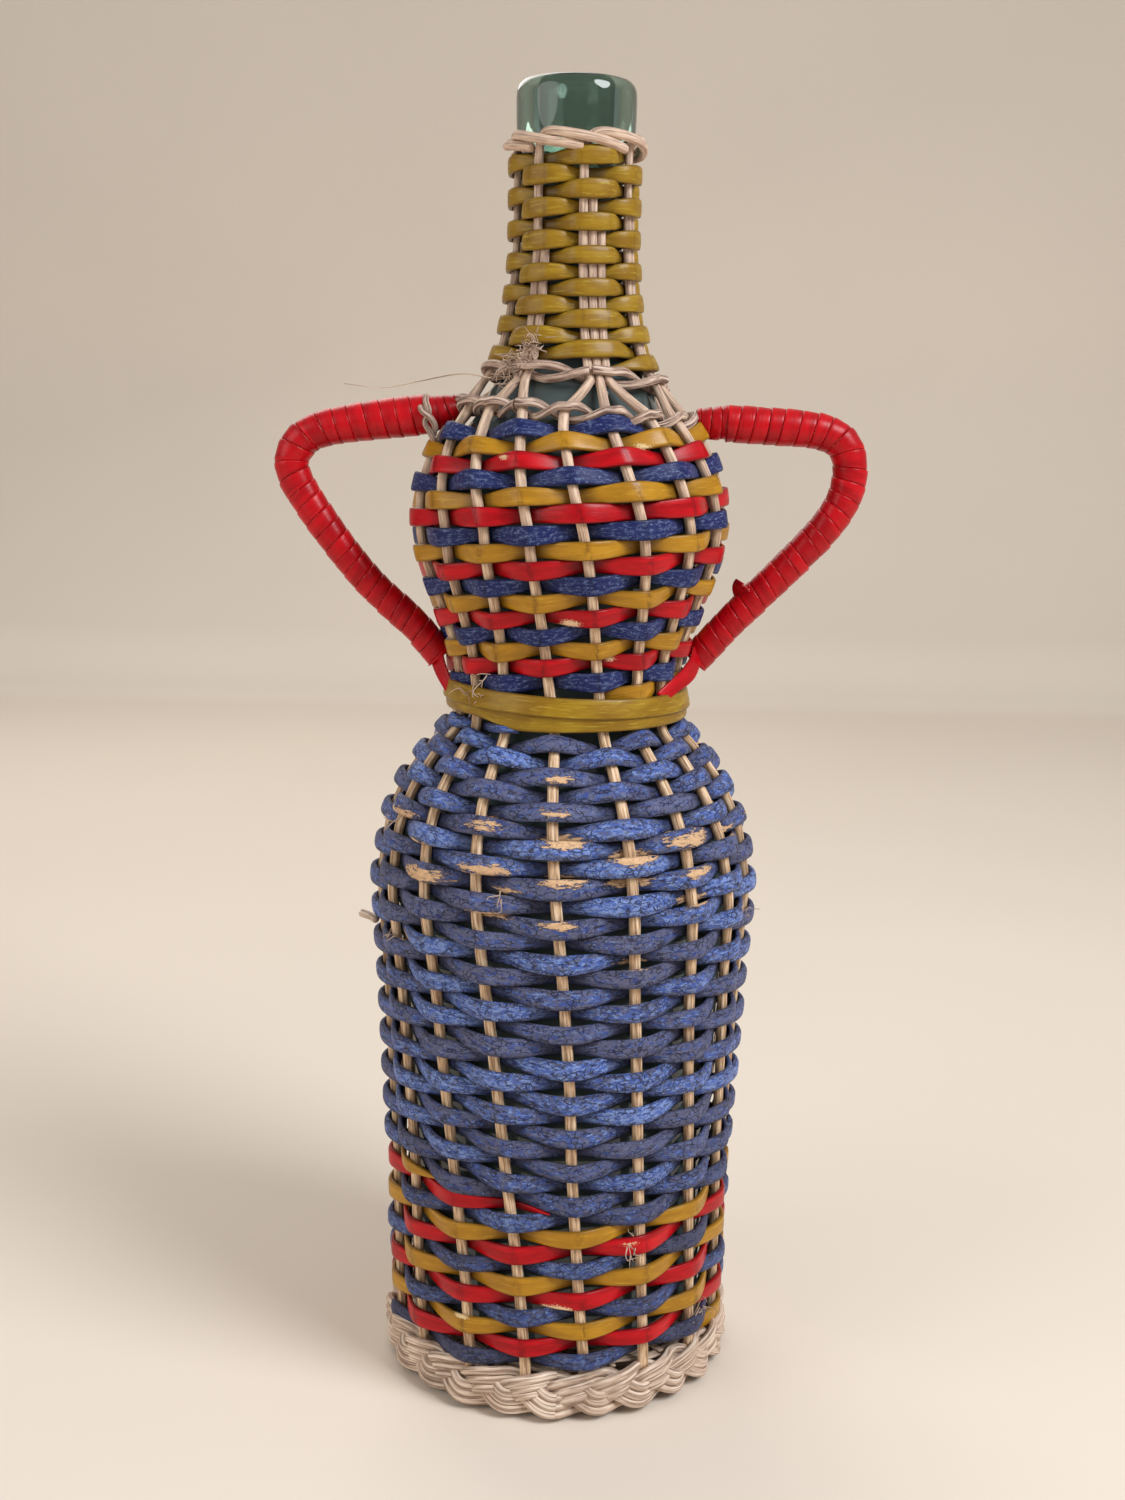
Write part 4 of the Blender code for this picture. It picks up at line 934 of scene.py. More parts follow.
WAIST_TURNS = (0.03, 1.97)
WAIST_HEIGHT = 176.3
WAIST_STEP = 3.9
WAIST_WIDTH = 4.9
WAIST_THICKNESS = 1.5
WAIST_LEAN = 0.5
WAIST_SECTION = oval(18, 5.0)

# The turns that the step takes, and the lower turn's start, drawn up under the upper one: how high, until
# which turn, and over how much of a turn it comes down
WAIST_STEP_TURNS = 0.10
WAIST_TUCK = (2.7, 0.45, 0.09)

# The lower turn's distance off the casing's waist and its lean in height, each with what the upper turn adds
WAIST_OFF = (2.3, 0.55)
WAIST_FALLS = (0.5, -1.6)


class WICKER_OT_waist(BottleOperator, bpy.types.Operator):
    """Wind the flat band twice round the waist, the upper turn laid partly over the lower one"""

    bl_idname = "wicker.waist"
    bl_label = "Waist band"

    def execute(self, context):
        across, along = WAIST_SECTION
        turns = np.linspace(*WAIST_TURNS, 260)
        angle = TURN * turns + math.pi
        step = np.clip((turns - 1) / WAIST_STEP_TURNS, -1, 1)
        upper = 0.5 + 0.5 * step * (1.5 - 0.5 * step**2)
        tuck, tuck_end, tuck_turns = WAIST_TUCK
        tucked = np.clip((tuck_end - turns) / tuck_turns, 0, 1)
        height = WAIST_HEIGHT + WAIST_STEP * upper + wander(9, turns * 6, 0.2, 71)
        height = height + tuck * (1 - upper) * tucked**2 * (3 - 2 * tucked)
        height = height + (WAIST_FALLS[0] + WAIST_FALLS[1] * upper) * np.sin(angle)
        thick = WAIST_THICKNESS - 0.3 * upper
        radius = WAIST + WAIST_OFF[0] + WAIST_OFF[1] * upper + wander(9, turns * 7, 0.12, 72)
        radius = radius + (thick - WAIST_THICKNESS) / 2
        lean = WAIST_LEAN * upper[:, None] * along
        r = radius[:, None] + thick[:, None] / 2 * across[None, :] - lean
        z = height[:, None] + WAIST_WIDTH / 2 * along[None, :]
        facts = {
            # Crest: the finish paints shade on the band's inner face.
            "crest": 0.2 + 0.8 * (0.5 + 0.5 * across)[None, :],
            "edge": np.abs(along)[None, :],
            "span": np.floor(turns * 3)[:, None],
        }
        grid_piece("waist_strip", at(angle[:, None], r, z), finish_for("olive"), ["waist_band"],
                   facts=facts)
        return {"FINISHED"}


# Foot

PLAIT_PERIODS = 8
PLAIT_STRANDS = 3
PLAIT_STEPS = 40
PLAIT_HEIGHT = 6.1
PLAIT_SWING = 2.75
PLAIT_DEPTH = 1.6
PLAIT_PINCH = 0.2
PLAIT_RODS = (-2.25, 0.0, 2.25)
PLAIT_ROD = 2.35
PLAIT_ROD_FLAT = 0.88
PLAIT_SECTION = oval(12, 2.4)


class WICKER_OT_foot(BottleOperator, bpy.types.Operator):
    """Plait the foot: three flat strands of three rods, each swinging up and down once and in and out twice"""

    bl_idname = "wicker.foot"
    bl_label = "Plaited foot"

    def execute(self, context):
        across, along = PLAIT_SECTION
        samples = np.arange(PLAIT_STEPS * PLAIT_PERIODS) / PLAIT_STEPS
        angle = TURN * samples / PLAIT_PERIODS
        for strand in range(PLAIT_STRANDS):
            swing = TURN * (samples + strand / PLAIT_STRANDS)
            height = PLAIT_HEIGHT + PLAIT_SWING * (np.sin(swing) + 0.10 * np.sin(3 * swing))
            radius = PLAIT_RADIUS + PLAIT_DEPTH * np.sin(2 * swing) - PLAIT_PINCH * np.sin(swing) ** 2
            middle = at(angle, radius, height)
            ahead = unit(np.roll(middle, -1, axis=0) - np.roll(middle, 1, axis=0))
            side = unit(np.cross(ahead, at(angle, 1.0, 0.0) / MM))
            out = np.cross(side, ahead)
            for rod, offset in enumerate(PLAIT_RODS):
                seed = 200 + 10 * strand + rod
                slow = np.sin(angle * (rod + 2) + seed)
                points = middle + (side * (offset + 0.15 * slow)[:, None] + out * (0.2 * slow)[:, None]) * MM
                half = (PLAIT_ROD + 0.15 * np.sin(angle * 5 + seed))[:, None, None] * MM / 2
                flat = out[:, None] * across[None, :, None] * PLAIT_ROD_FLAT
                rings = points[:, None] + half * (flat + side[:, None] * along[None, :, None])
                rings[..., 2] = np.maximum(rings[..., 2], 0.0)
                nodes = [f"foot_plait_{strand + 1}"] if rod == 1 else []
                grid_piece(f"plait_strand_{strand + 1}_rod_{rod + 1}", rings, finish_for("plait"),
                           nodes, closed=True)
        return {"FINISHED"}


# Base: the spiral's inner radius, its step for each turn, and its rod's depth and width

BASE_HEIGHT = 10.7
BASE_TURNS = 11.5
SPIRAL_START = 7.0
SPIRAL_STEP = 2.95
SPIRAL_ROD = (1.4, 2.75)
SPOKE_REACH = (3.0, 41.2)
SPOKE_DEPTH = 1.1
BOSS_OUTLINE = np.array([(0.0, 12.2), (7.5, 12.2), (8.0, 10.7), (7.5, 9.2), (0.0, 9.2)])


class WICKER_OT_base(BottleOperator, bpy.types.Operator):
    """Weave the base that carries the glass: a spiral rod over and under spokes"""

    bl_idname = "wicker.base"
    bl_label = "Woven base"

    def execute(self, context):
        willow = finish_for("plait")
        samples = even_run(0, BASE_TURNS * STAKES, 4)
        turn = samples / STAKES
        across, along = oval(8, 2.2)
        depth, width = SPIRAL_ROD
        r = (SPIRAL_START + SPIRAL_STEP * turn)[:, None] + width / 2 * along[None, :]
        z = (BASE_HEIGHT + np.cos(math.pi * samples))[:, None] + depth / 2 * across[None, :]
        grid_piece("base_spiral", at((TURN * turn)[:, None], r, z), willow, ["woven_base"])
        reach = np.linspace(*SPOKE_REACH, 12)
        up = np.tile([0.0, 0.0, 1.0], (len(reach), 1))
        widths = np.interp(reach, (3, 12), (0.9, 1.7))
        spokes = [
            path_rings(at(TURN * spoke / STAKES, reach, BASE_HEIGHT), up, SPOKE_DEPTH, widths, oval(6, 2))
            for spoke in range(STAKES)
        ]
        grid_piece("base_spokes", np.stack(spokes), willow, [])
        revolve("base_boss", BOSS_OUTLINE, 24, willow, [])
        return {"FINISHED"}


# Glass, as outlines of (radius, height) in millimetres

GLASS_WALL = 2.8
GLASS_SPAN = (306, 20)

# How far the glass lies inside the stakes, above this height and below it
INSET_HEIGHT = 256.0
GLASS_INSETS = (1.6, 2.6)
BORE_RADIUS = 9.25
LIP = np.array([
    (9.3, 328.9), (9.7, 329.7), (10.6, 330.0), (12.2, 330.0), (13.4, 329.6), (14.25, 328.7), (14.7, 327.4),
    (14.8, 325.5), (14.75, 321.5), (14.6, 317.6), (14.1, 315.6), (13.0, 314.6), (12.0, 313.4), (11.7, 311.0),
])
HEEL = np.array([
    (39.6, 18.0), (38.6, 15.6), (36.6, 13.8), (34.0, 13.2), (30.0, 13.3), (23.0, 14.6), (12.0, 18.4),
    (0.0, 20.2),
])
GLASS_FLOOR = np.array([(0.0, 23.2), (12.0, 21.4), (23.0, 17.6), (30.0, 16.6), (34.0, 17.2), (36.4, 19.6)])
BORE = np.array([(9.25, 312.0), (9.25, 326.0), (9.3, 328.9)])


def revolve(name, outline, steps, material, nodes):
    """An outline of (radius, height) in millimetres turned round the axis, its poles merged."""
    angle = TURN * np.arange(steps) / steps
    points = at(angle[:, None], outline[None, :, 0], outline[None, :, 1])
    count = len(outline)
    i, j = np.arange(steps)[:, None], np.arange(count - 1)[None, :]
    after = (i + 1) % steps
    quads = np.stack([i * count + j, after * count + j, after * count + j + 1, i * count + j + 1], axis=-1)
    mesh = bpy.data.meshes.new(name)
    mesh.from_pydata(points.reshape(-1, 3), [], quads.reshape(-1, 4).tolist())
    bm = bmesh.new()
    bm.from_mesh(mesh)
    bmesh.ops.remove_doubles(bm, verts=bm.verts, dist=1e-6)
    bmesh.ops.recalc_face_normals(bm, faces=bm.faces)
    bm.to_mesh(mesh)
    bm.free()
    mesh.shade_smooth()
    mesh.set_sharp_from_angle(angle=math.radians(50))
    return finish_piece(name, mesh, material, nodes)


class WICKER_OT_glass(BottleOperator, bpy.types.Operator):
    """Turn the glass: the casing's profile set in by the weave's depth, with a collared mouth and a push-up"""

    bl_idname = "wicker.glass"
    bl_label = "Glass bottle"

    def execute(self, context):
        length = np.linspace(*(length_at(height) for height in GLASS_SPAN), 90)
        radius, height, out, up = profile(length)
        depth = stake_size(height)[0] / 2 + np.where(height > INSET_HEIGHT, *GLASS_INSETS)
        outer = np.stack([radius - depth * out, height - depth * up], axis=1)
        inner = outer - GLASS_WALL * np.stack([out, up], axis=1)
        inner[:, 0] = np.maximum(inner[:, 0], BORE_RADIUS)
        outline = np.concatenate([LIP, outer, HEEL, GLASS_FLOOR, inner[::-1], BORE])
        revolve("glass", outline, 96, finish_for("glass"), ["glass_bottle"])
        return {"FINISHED"}


# Handles: each course as (share of the reach, share of the fall), from the top end to the bottom one

LEFT_COURSE = np.array([
    (-0.025, 0.0), (0.40, 0.03), (0.78, 0.07), (0.95, 0.13), (1.0, 0.24), (0.82, 0.43), (0.50, 0.68),
    (0.17, 0.87), (0.0, 1.0),
])
RIGHT_COURSE = np.array([
    (0.0, 0.02), (0.40, 0.03), (0.80, 0.05), (0.98, 0.12), (1.0, 0.27), (0.88, 0.42), (0.60, 0.61),
    (0.26, 0.82), (0.0, 1.0),
])
HANDLE_ROOTS = (33.6, 32.7)
HANDLE_REACH = 70.6
HANDLE_TOP = 250.0
HANDLE_FALL = 62.0
CORE_RADIUS = 2.8

# The binding's outer radius along each handle, as (share of its length, millimetres), and the millimetres
# along it at which the binding starts
LEFT_GIRTH = ((0.0, 0.03, 0.10, 0.30, 0.42, 0.7, 1.0), (3.9, 4.9, 5.1, 4.6, 4.3, 4.1, 4.0))
RIGHT_GIRTH = ((0.0, 0.03, 0.07, 0.10, 0.32, 0.5, 1.0), (4.3, 4.7, 4.5, 4.7, 4.5, 4.3, 4.0))
LEFT_START = 0.2
RIGHT_START = 5.6
WRAP_THICKNESS = 0.9
WRAP_POINTS = 32

# The winding at each root, as (distance from the axis, height) and its radius from the handle inwards
LEFT_CUFF = ((35.6, 250.0), (32.0, 250.4), (27.6, 251.8)), (4.2, 4.1, 3.0)
RIGHT_CUFF = ((39.8, 248.9), (36.0, 248.5), (31.6, 248.4)), (4.2, 4.1, 3.8)
CUFF_TURNS = 2

# Each strip's lower end, as (degrees from the front, radius, height), and its width
LEFT_TAIL = ((91, 33.8, 190.6), (85, 33.4, 187.6), (80, 32.6, 185.0), (76, 31.6, 182.6), (74, 30.6, 180.6))
RIGHT_TAIL = ((86, 33.4, 191.0), (79, 33.0, 188.0), (71, 32.2, 185.8), (62, 31.2, 184.0), (55, 30.4, 182.2),
              (51, 30.0, 181.0))
TAIL_SAMPLES = 30
TAIL_WIDTHS = ((0, 10, 29), (3.4, 4.6, 3.2))

# The knot's middle, from which its rods' depth points away, and its loop and the bar across it, in millimetres
KNOT_MIDDLE = (-36.0, 0.0, 249.0)
KNOT_LINES = (
    ((-36.6, 3.6, 247.2), (-36.8, 4.4, 250.4), (-36.8, 3.0, 252.9), (-36.6, -0.8, 254.1), (-36.4, -4.2, 252.6),
     (-35.6, -5.6, 250.2), (-36.4, -6.2, 247.6), (-35.2, -6.4, 245.2), (-34.0, -5.9, 242.6),
     (-33.5, -4.8, 240.2)),
    ((-37.8, -4.6, 251.4), (-37.0, -6.2, 250.3), (-35.2, -7.0, 249.0), (-34.0, -6.4, 246.8),
     (-34.4, -5.4, 244.6)),
)

# The tab on the right handle: its foot, as a share of the course and a radius, and its path from there
TAB_FOOT = (0.80, 4.2)
TAB_PATH = np.array([(1.2, -1.8, -2.0), (0.0, -1.6, -0.3), (-0.7, -1.6, 1.2), (-0.2, -1.6, 2.3)])
TAB_SAMPLES = 24
TAB_WIDTHS = ((0, 12, 23), (5.2, 5.0, 3.6))
LOOSE_STRIP = oval(14, 5.0)


def handle_course(shares):
    """The handle's middle line: each share of its reach and fall made a point, joined by a smooth curve."""
    root = np.interp(shares[:, 1], (0, 1), HANDLE_ROOTS)
    reach = root + (HANDLE_REACH - root) * shares[:, 0]
    return smooth_path(np.stack([reach, HANDLE_TOP - HANDLE_FALL * shares[:, 1]], axis=1), 240)


def around(course, side, share, turn, distance):
    """Points round a handle: distance from its middle line, turned from its outer side."""
    ticks = np.linspace(0, 1, len(course))
    ahead = unit(np.gradient(course, axis=0))
    x, z, ax, az = (np.interp(share, ticks, column) for column in (*course.T, *ahead.T))
    size = np.hypot(ax, az)
    x = x - az / size * distance * np.cos(turn)
    z = z + ax / size * distance * np.cos(turn)
    return np.stack([side * x, distance * np.sin(turn) * np.ones_like(x), z], axis=-1) * MM


def strip_facts(samples, section):
    """Facts of a strip that lies over what it binds: painted shade beneath, and worn along its very edges."""
    across, along = section
    return {
        "crest": 0.25 + 0.75 * (0.5 + 0.5 * across)[None, :],
        "edge": 0.82 * np.abs(along)[None, :],
        "span": np.floor(samples)[:, None],
        "bare": 0.42 * np.abs(along)[None, :] ** 8,
    }


def wound_strip(name, course, side, samples, low, high, radius_at, thickness, tilt, section, nodes):
    """A red strip wound round a handle, its edges at the low and high shares of the course at each sample."""
    across, along = section
    place = ((low + high) / 2)[:, None] + ((high - low) / 2)[:, None] * along[None, :]
    distance = radius_at(place) + thickness / 2 * (across - 1)[None, :] - tilt * along[None, :]
    grid_piece(name, around(course, side, place, TURN * samples[:, None], distance), finish_for("red"),
               nodes, facts=strip_facts(samples, section))


def bent_piece(name, line, count, facing, depth, width, section, finish, facts=None):
    """A short loose strand through points in millimetres, its depth along one direction all the way."""
    path = smooth_path(line, count) * MM
    rings = path_rings(path, np.tile(facing, (count, 1)), depth, width, section)
    return grid_piece(name, rings, finish_for(finish), [], facts=facts)


class WICKER_OT_handles(BottleOperator, bpy.types.Operator):
    """Bind both handles: a bent core, a red strip wound down it edge to edge, and what holds its top end"""

    bl_idname = "wicker.handles"
    bl_label = "Handles"

    def execute(self, context):
        wraps = context.scene.wicker_bottle.handle_wraps
        for label, side, shares, girth, start, seed, cuff, tail in (
            ("left", -1, LEFT_COURSE, LEFT_GIRTH, LEFT_START, 80, LEFT_CUFF, LEFT_TAIL),
            ("right", 1, RIGHT_COURSE, RIGHT_GIRTH, RIGHT_START, 90, RIGHT_CUFF, RIGHT_TAIL),
        ):
            course = handle_course(shares)
            share = np.linspace(0, 1, 120)[:, None]
            turn = TURN * np.arange(20)[None, :] / 20
            grid_piece(f"{label}_core", around(course, side, share, turn, CORE_RADIUS), finish_for("willow"),
                       [f"{label}_handle_core"])
            self.bind(label, side, course, girth, start, wraps, seed)
            self.cuff(label, side, *cuff)
            self.tail(label, side, tail)
        self.knot()
        self.tab()
        return {"FINISHED"}

    def bind(self, label, side, course, girth, start, wraps, seed):
        """The strip's edges follow one uneven screw line, a turn apart, so each turn meets the next one."""
        start = start / np.linalg.norm(np.diff(course, axis=0), axis=1).sum()
        pitch = (1 - start) / (wraps + 1)
        samples = np.arange(-WRAP_POINTS, int(wraps * WRAP_POINTS) + WRAP_POINTS + 1) / WRAP_POINTS
        uneven = wander(wraps, samples, 0.12, seed + 1)[:, None]

        def screw(turns):
            turned = turns + 0.5 + wander(wraps + 4, turns, 0.16, seed, -2.0)
            return np.clip(start + pitch * turned, start, 1.0)

        wound_strip(f"{label}_binding", course, side, samples, screw(samples - 0.5), screw(samples + 0.5),
                    lambda place: np.interp(place, *girth) + uneven, WRAP_THICKNESS, 0.10, oval(14, 6.0),
                    [f"{label}_handle_wrap"])

    def cuff(self, label, side, line, radii):
        """A short red winding from the handle's root in to the shoulder's stakes, slimmer towards them."""
        samples = np.arange(-WRAP_POINTS, CUFF_TURNS * WRAP_POINTS + WRAP_POINTS + 1) / WRAP_POINTS
        low, high = (np.clip((samples + half + 0.5) / (CUFF_TURNS + 1), 0, 1) for half in (-0.48, 0.48))
        wound_strip(f"{label}_cuff", smooth_path(line, 40), side, samples, low, high,
                    lambda place: np.interp(place, (0.0, 0.5, 1.0), radii), 0.8, 0.15, LOOSE_STRIP,
                    ["right_handle_tie"] if side > 0 else [])

    def tail(self, label, side, line):
        """The strip's lower end, laid on the casing's front and run down under the waist band."""
        degrees, radius, height = smooth_path(line, TAIL_SAMPLES).T
        angle = np.radians(side * degrees)
        width = np.interp(np.arange(TAIL_SAMPLES), *TAIL_WIDTHS)
        facing = at(angle * 0.5, 1.0, 0.15) / MM
        rings = path_rings(at(angle, radius, height), facing, 0.8, width, LOOSE_STRIP)
        grid_piece(f"{label}_strip_tail", rings, finish_for("red"), [],
                   facts=strip_facts(np.zeros(TAIL_SAMPLES), LOOSE_STRIP))

    def knot(self):
        """A thin natural rod looped over the left handle's top end and knotted in front, its end hanging."""
        tubes = []
        for line in KNOT_LINES:
            points = smooth_path(line, 60)
            facing = unit(points - np.array(KNOT_MIDDLE) + np.array([0.0, 0.0, 0.1]))
            tubes.append(path_rings(points * MM, facing, 1.4, 1.6, oval(10, 2.2)))
        grid_piece("left_knot", np.stack(tubes), finish_for("grey_willow"),
                   ["left_handle_tie"])

    def tab(self):
        """The end of a strip that stands up off the right handle."""
        course = handle_course(RIGHT_COURSE)
        share, radius = TAB_FOOT
        base = around(course, 1, share, math.pi, radius) / MM
        width = np.interp(np.arange(TAB_SAMPLES), *TAB_WIDTHS)
        bent_piece("right_strip_tab", base + TAB_PATH, TAB_SAMPLES, (-0.8, -0.5, 0.4), 0.9, width, LOOSE_STRIP,
                   "red", strip_facts(np.zeros(TAB_SAMPLES), LOOSE_STRIP))


# Loose ends

# Tufts of loose fibre, as (degrees, height, radius, spread, fibre length, number) in millimetres
TUFTS = (
    (-36, 262.0, 22.2, 1.8, 4.2, 60), (-44, 259.5, 23.6, 1.4, 3.6, 30), (-27, 266.5, 20.2, 1.5, 3.8, 34),
    (24, 45.0, 46.6, 1.2, 5.0, 9), (55, 21.0, 46.0, 1.2, 5.0, 7), (-65, 150.0, 47.5, 1.2, 4.5, 7),
    (-57, 121.0, 51.0, 1.0, 4.0, 5), (-17, 138.0, 50.0, 0.8, 4.5, 4), (68, 127.0, 50.5, 0.8, 4.0, 4),
    (-48, 184.5, 31.8, 2.4, 6.0, 12), (150, 140.0, 50.0, 1.0, 4.0, 6), (-130, 30.0, 46.0, 1.0, 4.0, 5),
)
FIBRE_STEPS = 12
FIBRE_SECTION = oval(5, 2)
THREAD = ((-19.5, -14.0, 258.5), (-27.0, -12.0, 259.5), (-37.0, -8.0, 257.8), (-47.0, -5.0, 256.0),
          (-57.0, -3.0, 256.8))
ROD_END = np.array([(-80.0, 49.5, 119.6), (-82.5, 51.0, 120.0), (-85.0, 53.2, 120.2)])


def fibres(rng, degrees, height, radius, spread, reach, count):
    """A tuft: each fibre goes outwards and aside from near its middle, bent by a sine that grows along it."""
    angle = math.radians(degrees) + rng.normal(0, spread, count) / radius
    start = at(angle, radius + rng.normal(0, 0.3, count), height + rng.normal(0, spread, count))
    aim = unit(at(angle, 1.0, 0.0) / MM * 0.8 + rng.normal(0, 1.0, (count, 3)))
    bend = rng.normal(0, 1.0, (count, 3))
    t = np.linspace(0, 1, FIBRE_STEPS)[None, :, None]
    long = rng.uniform(0.5, 1.0, (count, 1, 1)) * reach * MM
    paths = start[:, None] + long * (aim[:, None] * t + 0.28 * bend[:, None] * np.sin(math.pi * t) * t)
    tapers = rng.uniform(0.22, 0.42, count)[:, None] * np.linspace(1.0, 0.4, FIBRE_STEPS)
    return [path_rings(path, np.tile(way, (FIBRE_STEPS, 1)), taper, taper, FIBRE_SECTION)
            for path, taper, way in zip(paths, tapers, bend)]


class WICKER_OT_loose_ends(BottleOperator, bpy.types.Operator):
    """Add the loose ends: tufts of fibre, one long thread, and a rod end that stands out at the left"""

    bl_idname = "wicker.loose_ends"
    bl_label = "Loose ends"

    def execute(self, context):
        rng = np.random.default_rng(7)
        rings = sum((fibres(rng, *tuft) for tuft in TUFTS), [])
        grid_piece("loose_fibres", np.stack(rings), finish_for("plait"), [])
        taper = np.linspace(0.42, 0.2, 60)
        bent_piece("loose_thread", THREAD, 60, (0.1, -1.0, 0.2), taper, taper, oval(6, 2), "plait")
        degrees, radius, height = ROD_END.T
        bent_piece("rod_end", at(np.radians(degrees), radius, height) / MM, 10, (0.0, 0.0, 1.0), 2.0, 2.2,
                   oval(10, 2.2), "plait")
        return {"FINISHED"}


# Stage, in metres

# The backdrop's line from the front of the floor to the top of the wall, as (distance back, height)
BACKDROP = ((-1.2, 0.0), (0.9, 0.0), (1.1, 0.02), (1.25, 0.09), (1.33, 0.22), (1.35, 0.4), (1.35, 1.8))
BACKDROP_HALF = 1.8
BACKDROP_SAMPLES = 60
WORLD_LIGHT = (1.0, 0.98, 0.95, 1.0)
WORLD_STRENGTH = 0.38
COOL, WARM = (0.93, 0.96, 1.0), (1.0, 0.97, 0.93)
LAMPS = (
    ("key", (0.75, -0.55, 0.95), 0.6, 13.5, COOL), ("fill", (-0.95, -0.6, 0.6), 0.9, 4.5, WARM),
    ("back", (-0.3, 0.8, 0.9), 0.8, 4.0, WARM),
)
LAMP_TARGET = Vector((0, 0, 0.17))

# The photograph's frame: the lens over the frame's height, and the eye 450 mm in front
FRAME_HEIGHT = 24.0
LENS = 28.0
EYE = (-0.0008, -0.45, 0.2488)
LOOK_DOWN = math.radians(10.68)
ROLL = math.radians(0.98)


class WICKER_OT_stage(BottleOperator, bpy.types.Operator):
    """Set the pale floor and backdrop, the soft lamps and the camera"""

    bl_idname = "wicker.stage"
    bl_label = "Stage, lamps and camera"

    def execute(self, context):
        scene = context.scene
        self.backdrop(scene)
        self.lamps(scene)
        self.camera(scene)
        scene.view_settings.view_transform = "Standard"
        return {"FINISHED"}

    def backdrop(self, scene):
        """The floor, and the wall that it curves up into: the line carried from side to side."""
        run = smooth_path(BACKDROP, BACKDROP_SAMPLES)
        sides = np.broadcast_to((-BACKDROP_HALF, BACKDROP_HALF), (BACKDROP_SAMPLES, 2))
        points = np.stack([sides, np.repeat(run[:, :1], 2, axis=1), np.repeat(run[:, 1:], 2, axis=1)], axis=-1)
        i = np.arange(BACKDROP_SAMPLES - 1)[:, None]
        quads = np.stack([2 * i, 2 * i + 1, 2 * i + 3, 2 * i + 2], axis=-1).reshape(-1, 4)
        mesh = bpy.data.meshes.new("backdrop")
        mesh.from_pydata(points.reshape(-1, 3), [], quads.tolist())
        mesh.shade_smooth()
        finish = Finish("backdrop_paper", 0.9, 0.2)
        cloud = finish.noise(finish.place(), 3.0, 2.0, 0.5)
        tint = tuple(scene.wicker_bottle.floor_colour)
        paper = finish.mix(finish.band(cloud, 0.2, 0.8), tint, tuple(min(1.0, c * 1.04) for c in tint))
        mesh.materials.append(finish.done(paper))
        backdrop = bpy.data.objects.new("backdrop", mesh)
        scene.collection.objects.link(backdrop)

    def lamps(self, scene):
        world = bpy.data.worlds.new("studio")
        world.use_nodes = True
        background = world.node_tree.nodes["Background"]
        background.inputs["Color"].default_value = WORLD_LIGHT
        background.inputs["Strength"].default_value = WORLD_STRENGTH
        scene.world = world
        for name, place, size, power, tint in LAMPS:
            lamp = bpy.data.lights.new(name, "AREA")
            lamp.shape = "DISK"
            lamp.size = size
            lamp.energy = power
            lamp.color = tint
            holder = bpy.data.objects.new(name, lamp)
            holder.location = place
            holder.rotation_euler = (LAMP_TARGET - Vector(place)).to_track_quat("-Z", "Y").to_euler()
            scene.collection.objects.link(holder)

    def camera(self, scene):
        """The eye in front of the bottle, looking level along +Y, then turned down and rolled."""
        lens = bpy.data.cameras.new("camera")
        lens.sensor_fit = "VERTICAL"
        lens.sensor_height = FRAME_HEIGHT
        lens.lens = LENS
        lens.clip_start = 0.01
        camera = bpy.data.objects.new("camera", lens)
        camera.rotation_mode = "QUATERNION"
        level = math.pi / 2 - LOOK_DOWN
        camera.rotation_quaternion = Quaternion((1, 0, 0), level) @ Quaternion((0, 0, 1), ROLL)
        camera.location = EYE
        scene.collection.objects.link(camera)
        scene.camera = camera


# Panel and settings

def length_setting(name, description, default, least=0.0005):
    return FloatProperty(name=name, description=description, default=default, min=least, unit="LENGTH")


def colour_setting(name, description, *channels):
    return FloatVectorProperty(name=name, description=description, subtype="COLOR", default=colour(*channels),
                               min=0, max=1)


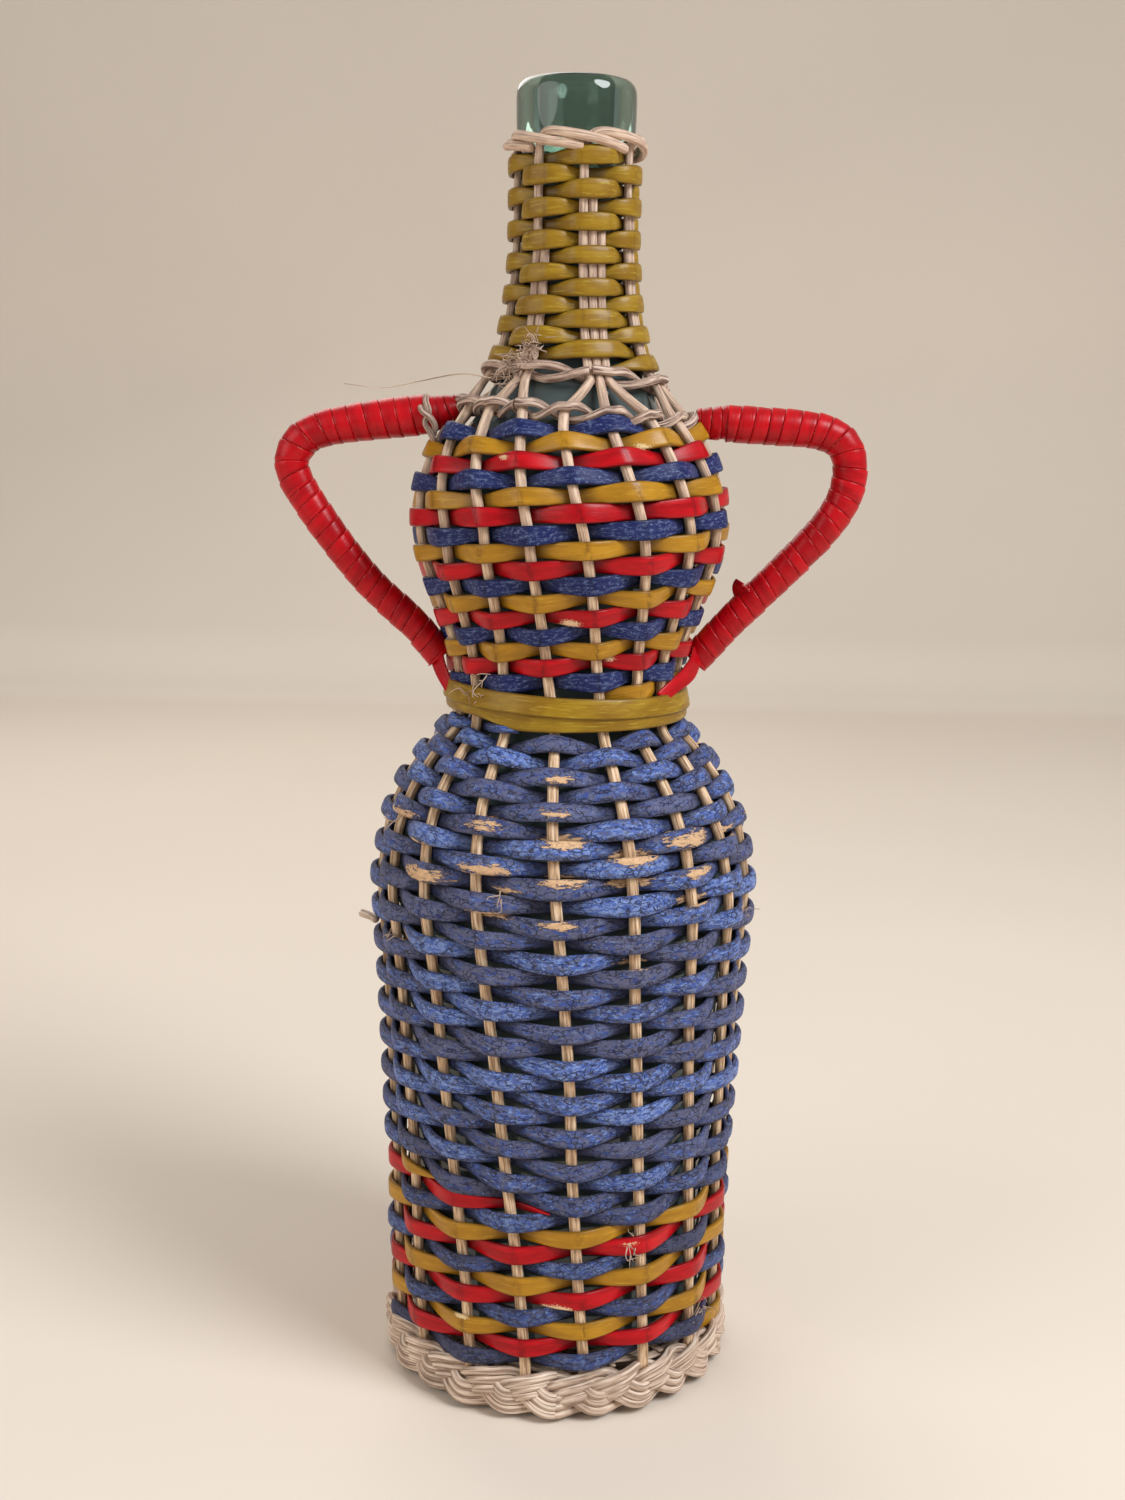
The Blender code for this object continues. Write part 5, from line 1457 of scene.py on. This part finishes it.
class WickerBottleSettings(bpy.types.PropertyGroup):
    """Sizes and colours of the wicker bottle"""

    stake_width: length_setting("Stake width", "Width of a stake seen from outside", 0.0028, 0.001)
    stake_depth: length_setting("Stake depth", "Depth of a stake, square to the casing", 0.0024, 0.001)
    rod_depth: length_setting("Body rod depth", "Thickness of the blue rod of the body", 0.0019)
    strip_depth: length_setting("Strip depth", "Thickness of the coloured strips", 0.0013)
    neck_strip_depth: length_setting("Neck strip depth", "Thickness of the strip round the neck", 0.0014)
    handle_wraps: FloatProperty(name="Handle wraps", description="Turns of the strip round each handle",
                                default=26.0, min=1.0)
    body_blue: colour_setting("Body blue", "Paint on the body's rod", 42, 58, 124)
    bulb_blue: colour_setting("Bulb blue", "Paint on the bulb's blue strip", 32, 42, 92)
    red: colour_setting("Red", "Enamel on the red strips", 200, 6, 22)
    ochre: colour_setting("Ochre", "Enamel on the ochre strips", 186, 134, 26)
    olive: colour_setting("Olive", "Enamel on the neck strip and the waist band", 158, 124, 26)
    willow_colour: colour_setting("Willow", "Bare stakes", 222, 186, 148)
    neck_willow_colour: colour_setting("Grey willow", "Weathered rods of the neck", 196, 168, 150)
    plait_colour: colour_setting("Plait", "Rods of the plaited foot", 212, 186, 164)
    glass_colour: colour_setting("Glass", "Tint of the bottle glass", 138, 164, 153)
    floor_colour: colour_setting("Floor", "Colour of the floor and backdrop", 226, 214, 200)


OPERATORS = (
    WICKER_OT_glass, WICKER_OT_stakes, WICKER_OT_body, WICKER_OT_bulb, WICKER_OT_neck, WICKER_OT_twinings,
    WICKER_OT_waist, WICKER_OT_foot, WICKER_OT_base, WICKER_OT_handles, WICKER_OT_loose_ends,
    WICKER_OT_stage,
)


class WICKER_PT_sidebar(bpy.types.Panel):
    """Buttons and settings of the wicker bottle"""

    bl_label = "Wicker bottle"
    bl_idname = "WICKER_PT_sidebar"
    bl_space_type = "VIEW_3D"
    bl_region_type = "UI"
    bl_category = "Wicker"

    def draw(self, context):
        settings = context.scene.wicker_bottle
        for name in settings.__annotations__:
            self.layout.prop(settings, name)
        for operator in OPERATORS:
            self.layout.operator(operator.bl_idname)


CLASSES = (WickerBottleSettings, *OPERATORS, WICKER_PT_sidebar)


def register():
    for item in CLASSES:
        bpy.utils.register_class(item)
    bpy.types.Scene.wicker_bottle = PointerProperty(type=WickerBottleSettings)


def unregister():
    del bpy.types.Scene.wicker_bottle
    for item in reversed(CLASSES):
        bpy.utils.unregister_class(item)


def main():
    register()
    for operator in OPERATORS:
        group, name = operator.bl_idname.split(".")
        getattr(getattr(bpy.ops, group), name)()
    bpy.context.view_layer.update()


if __name__ == "__main__":
    main()
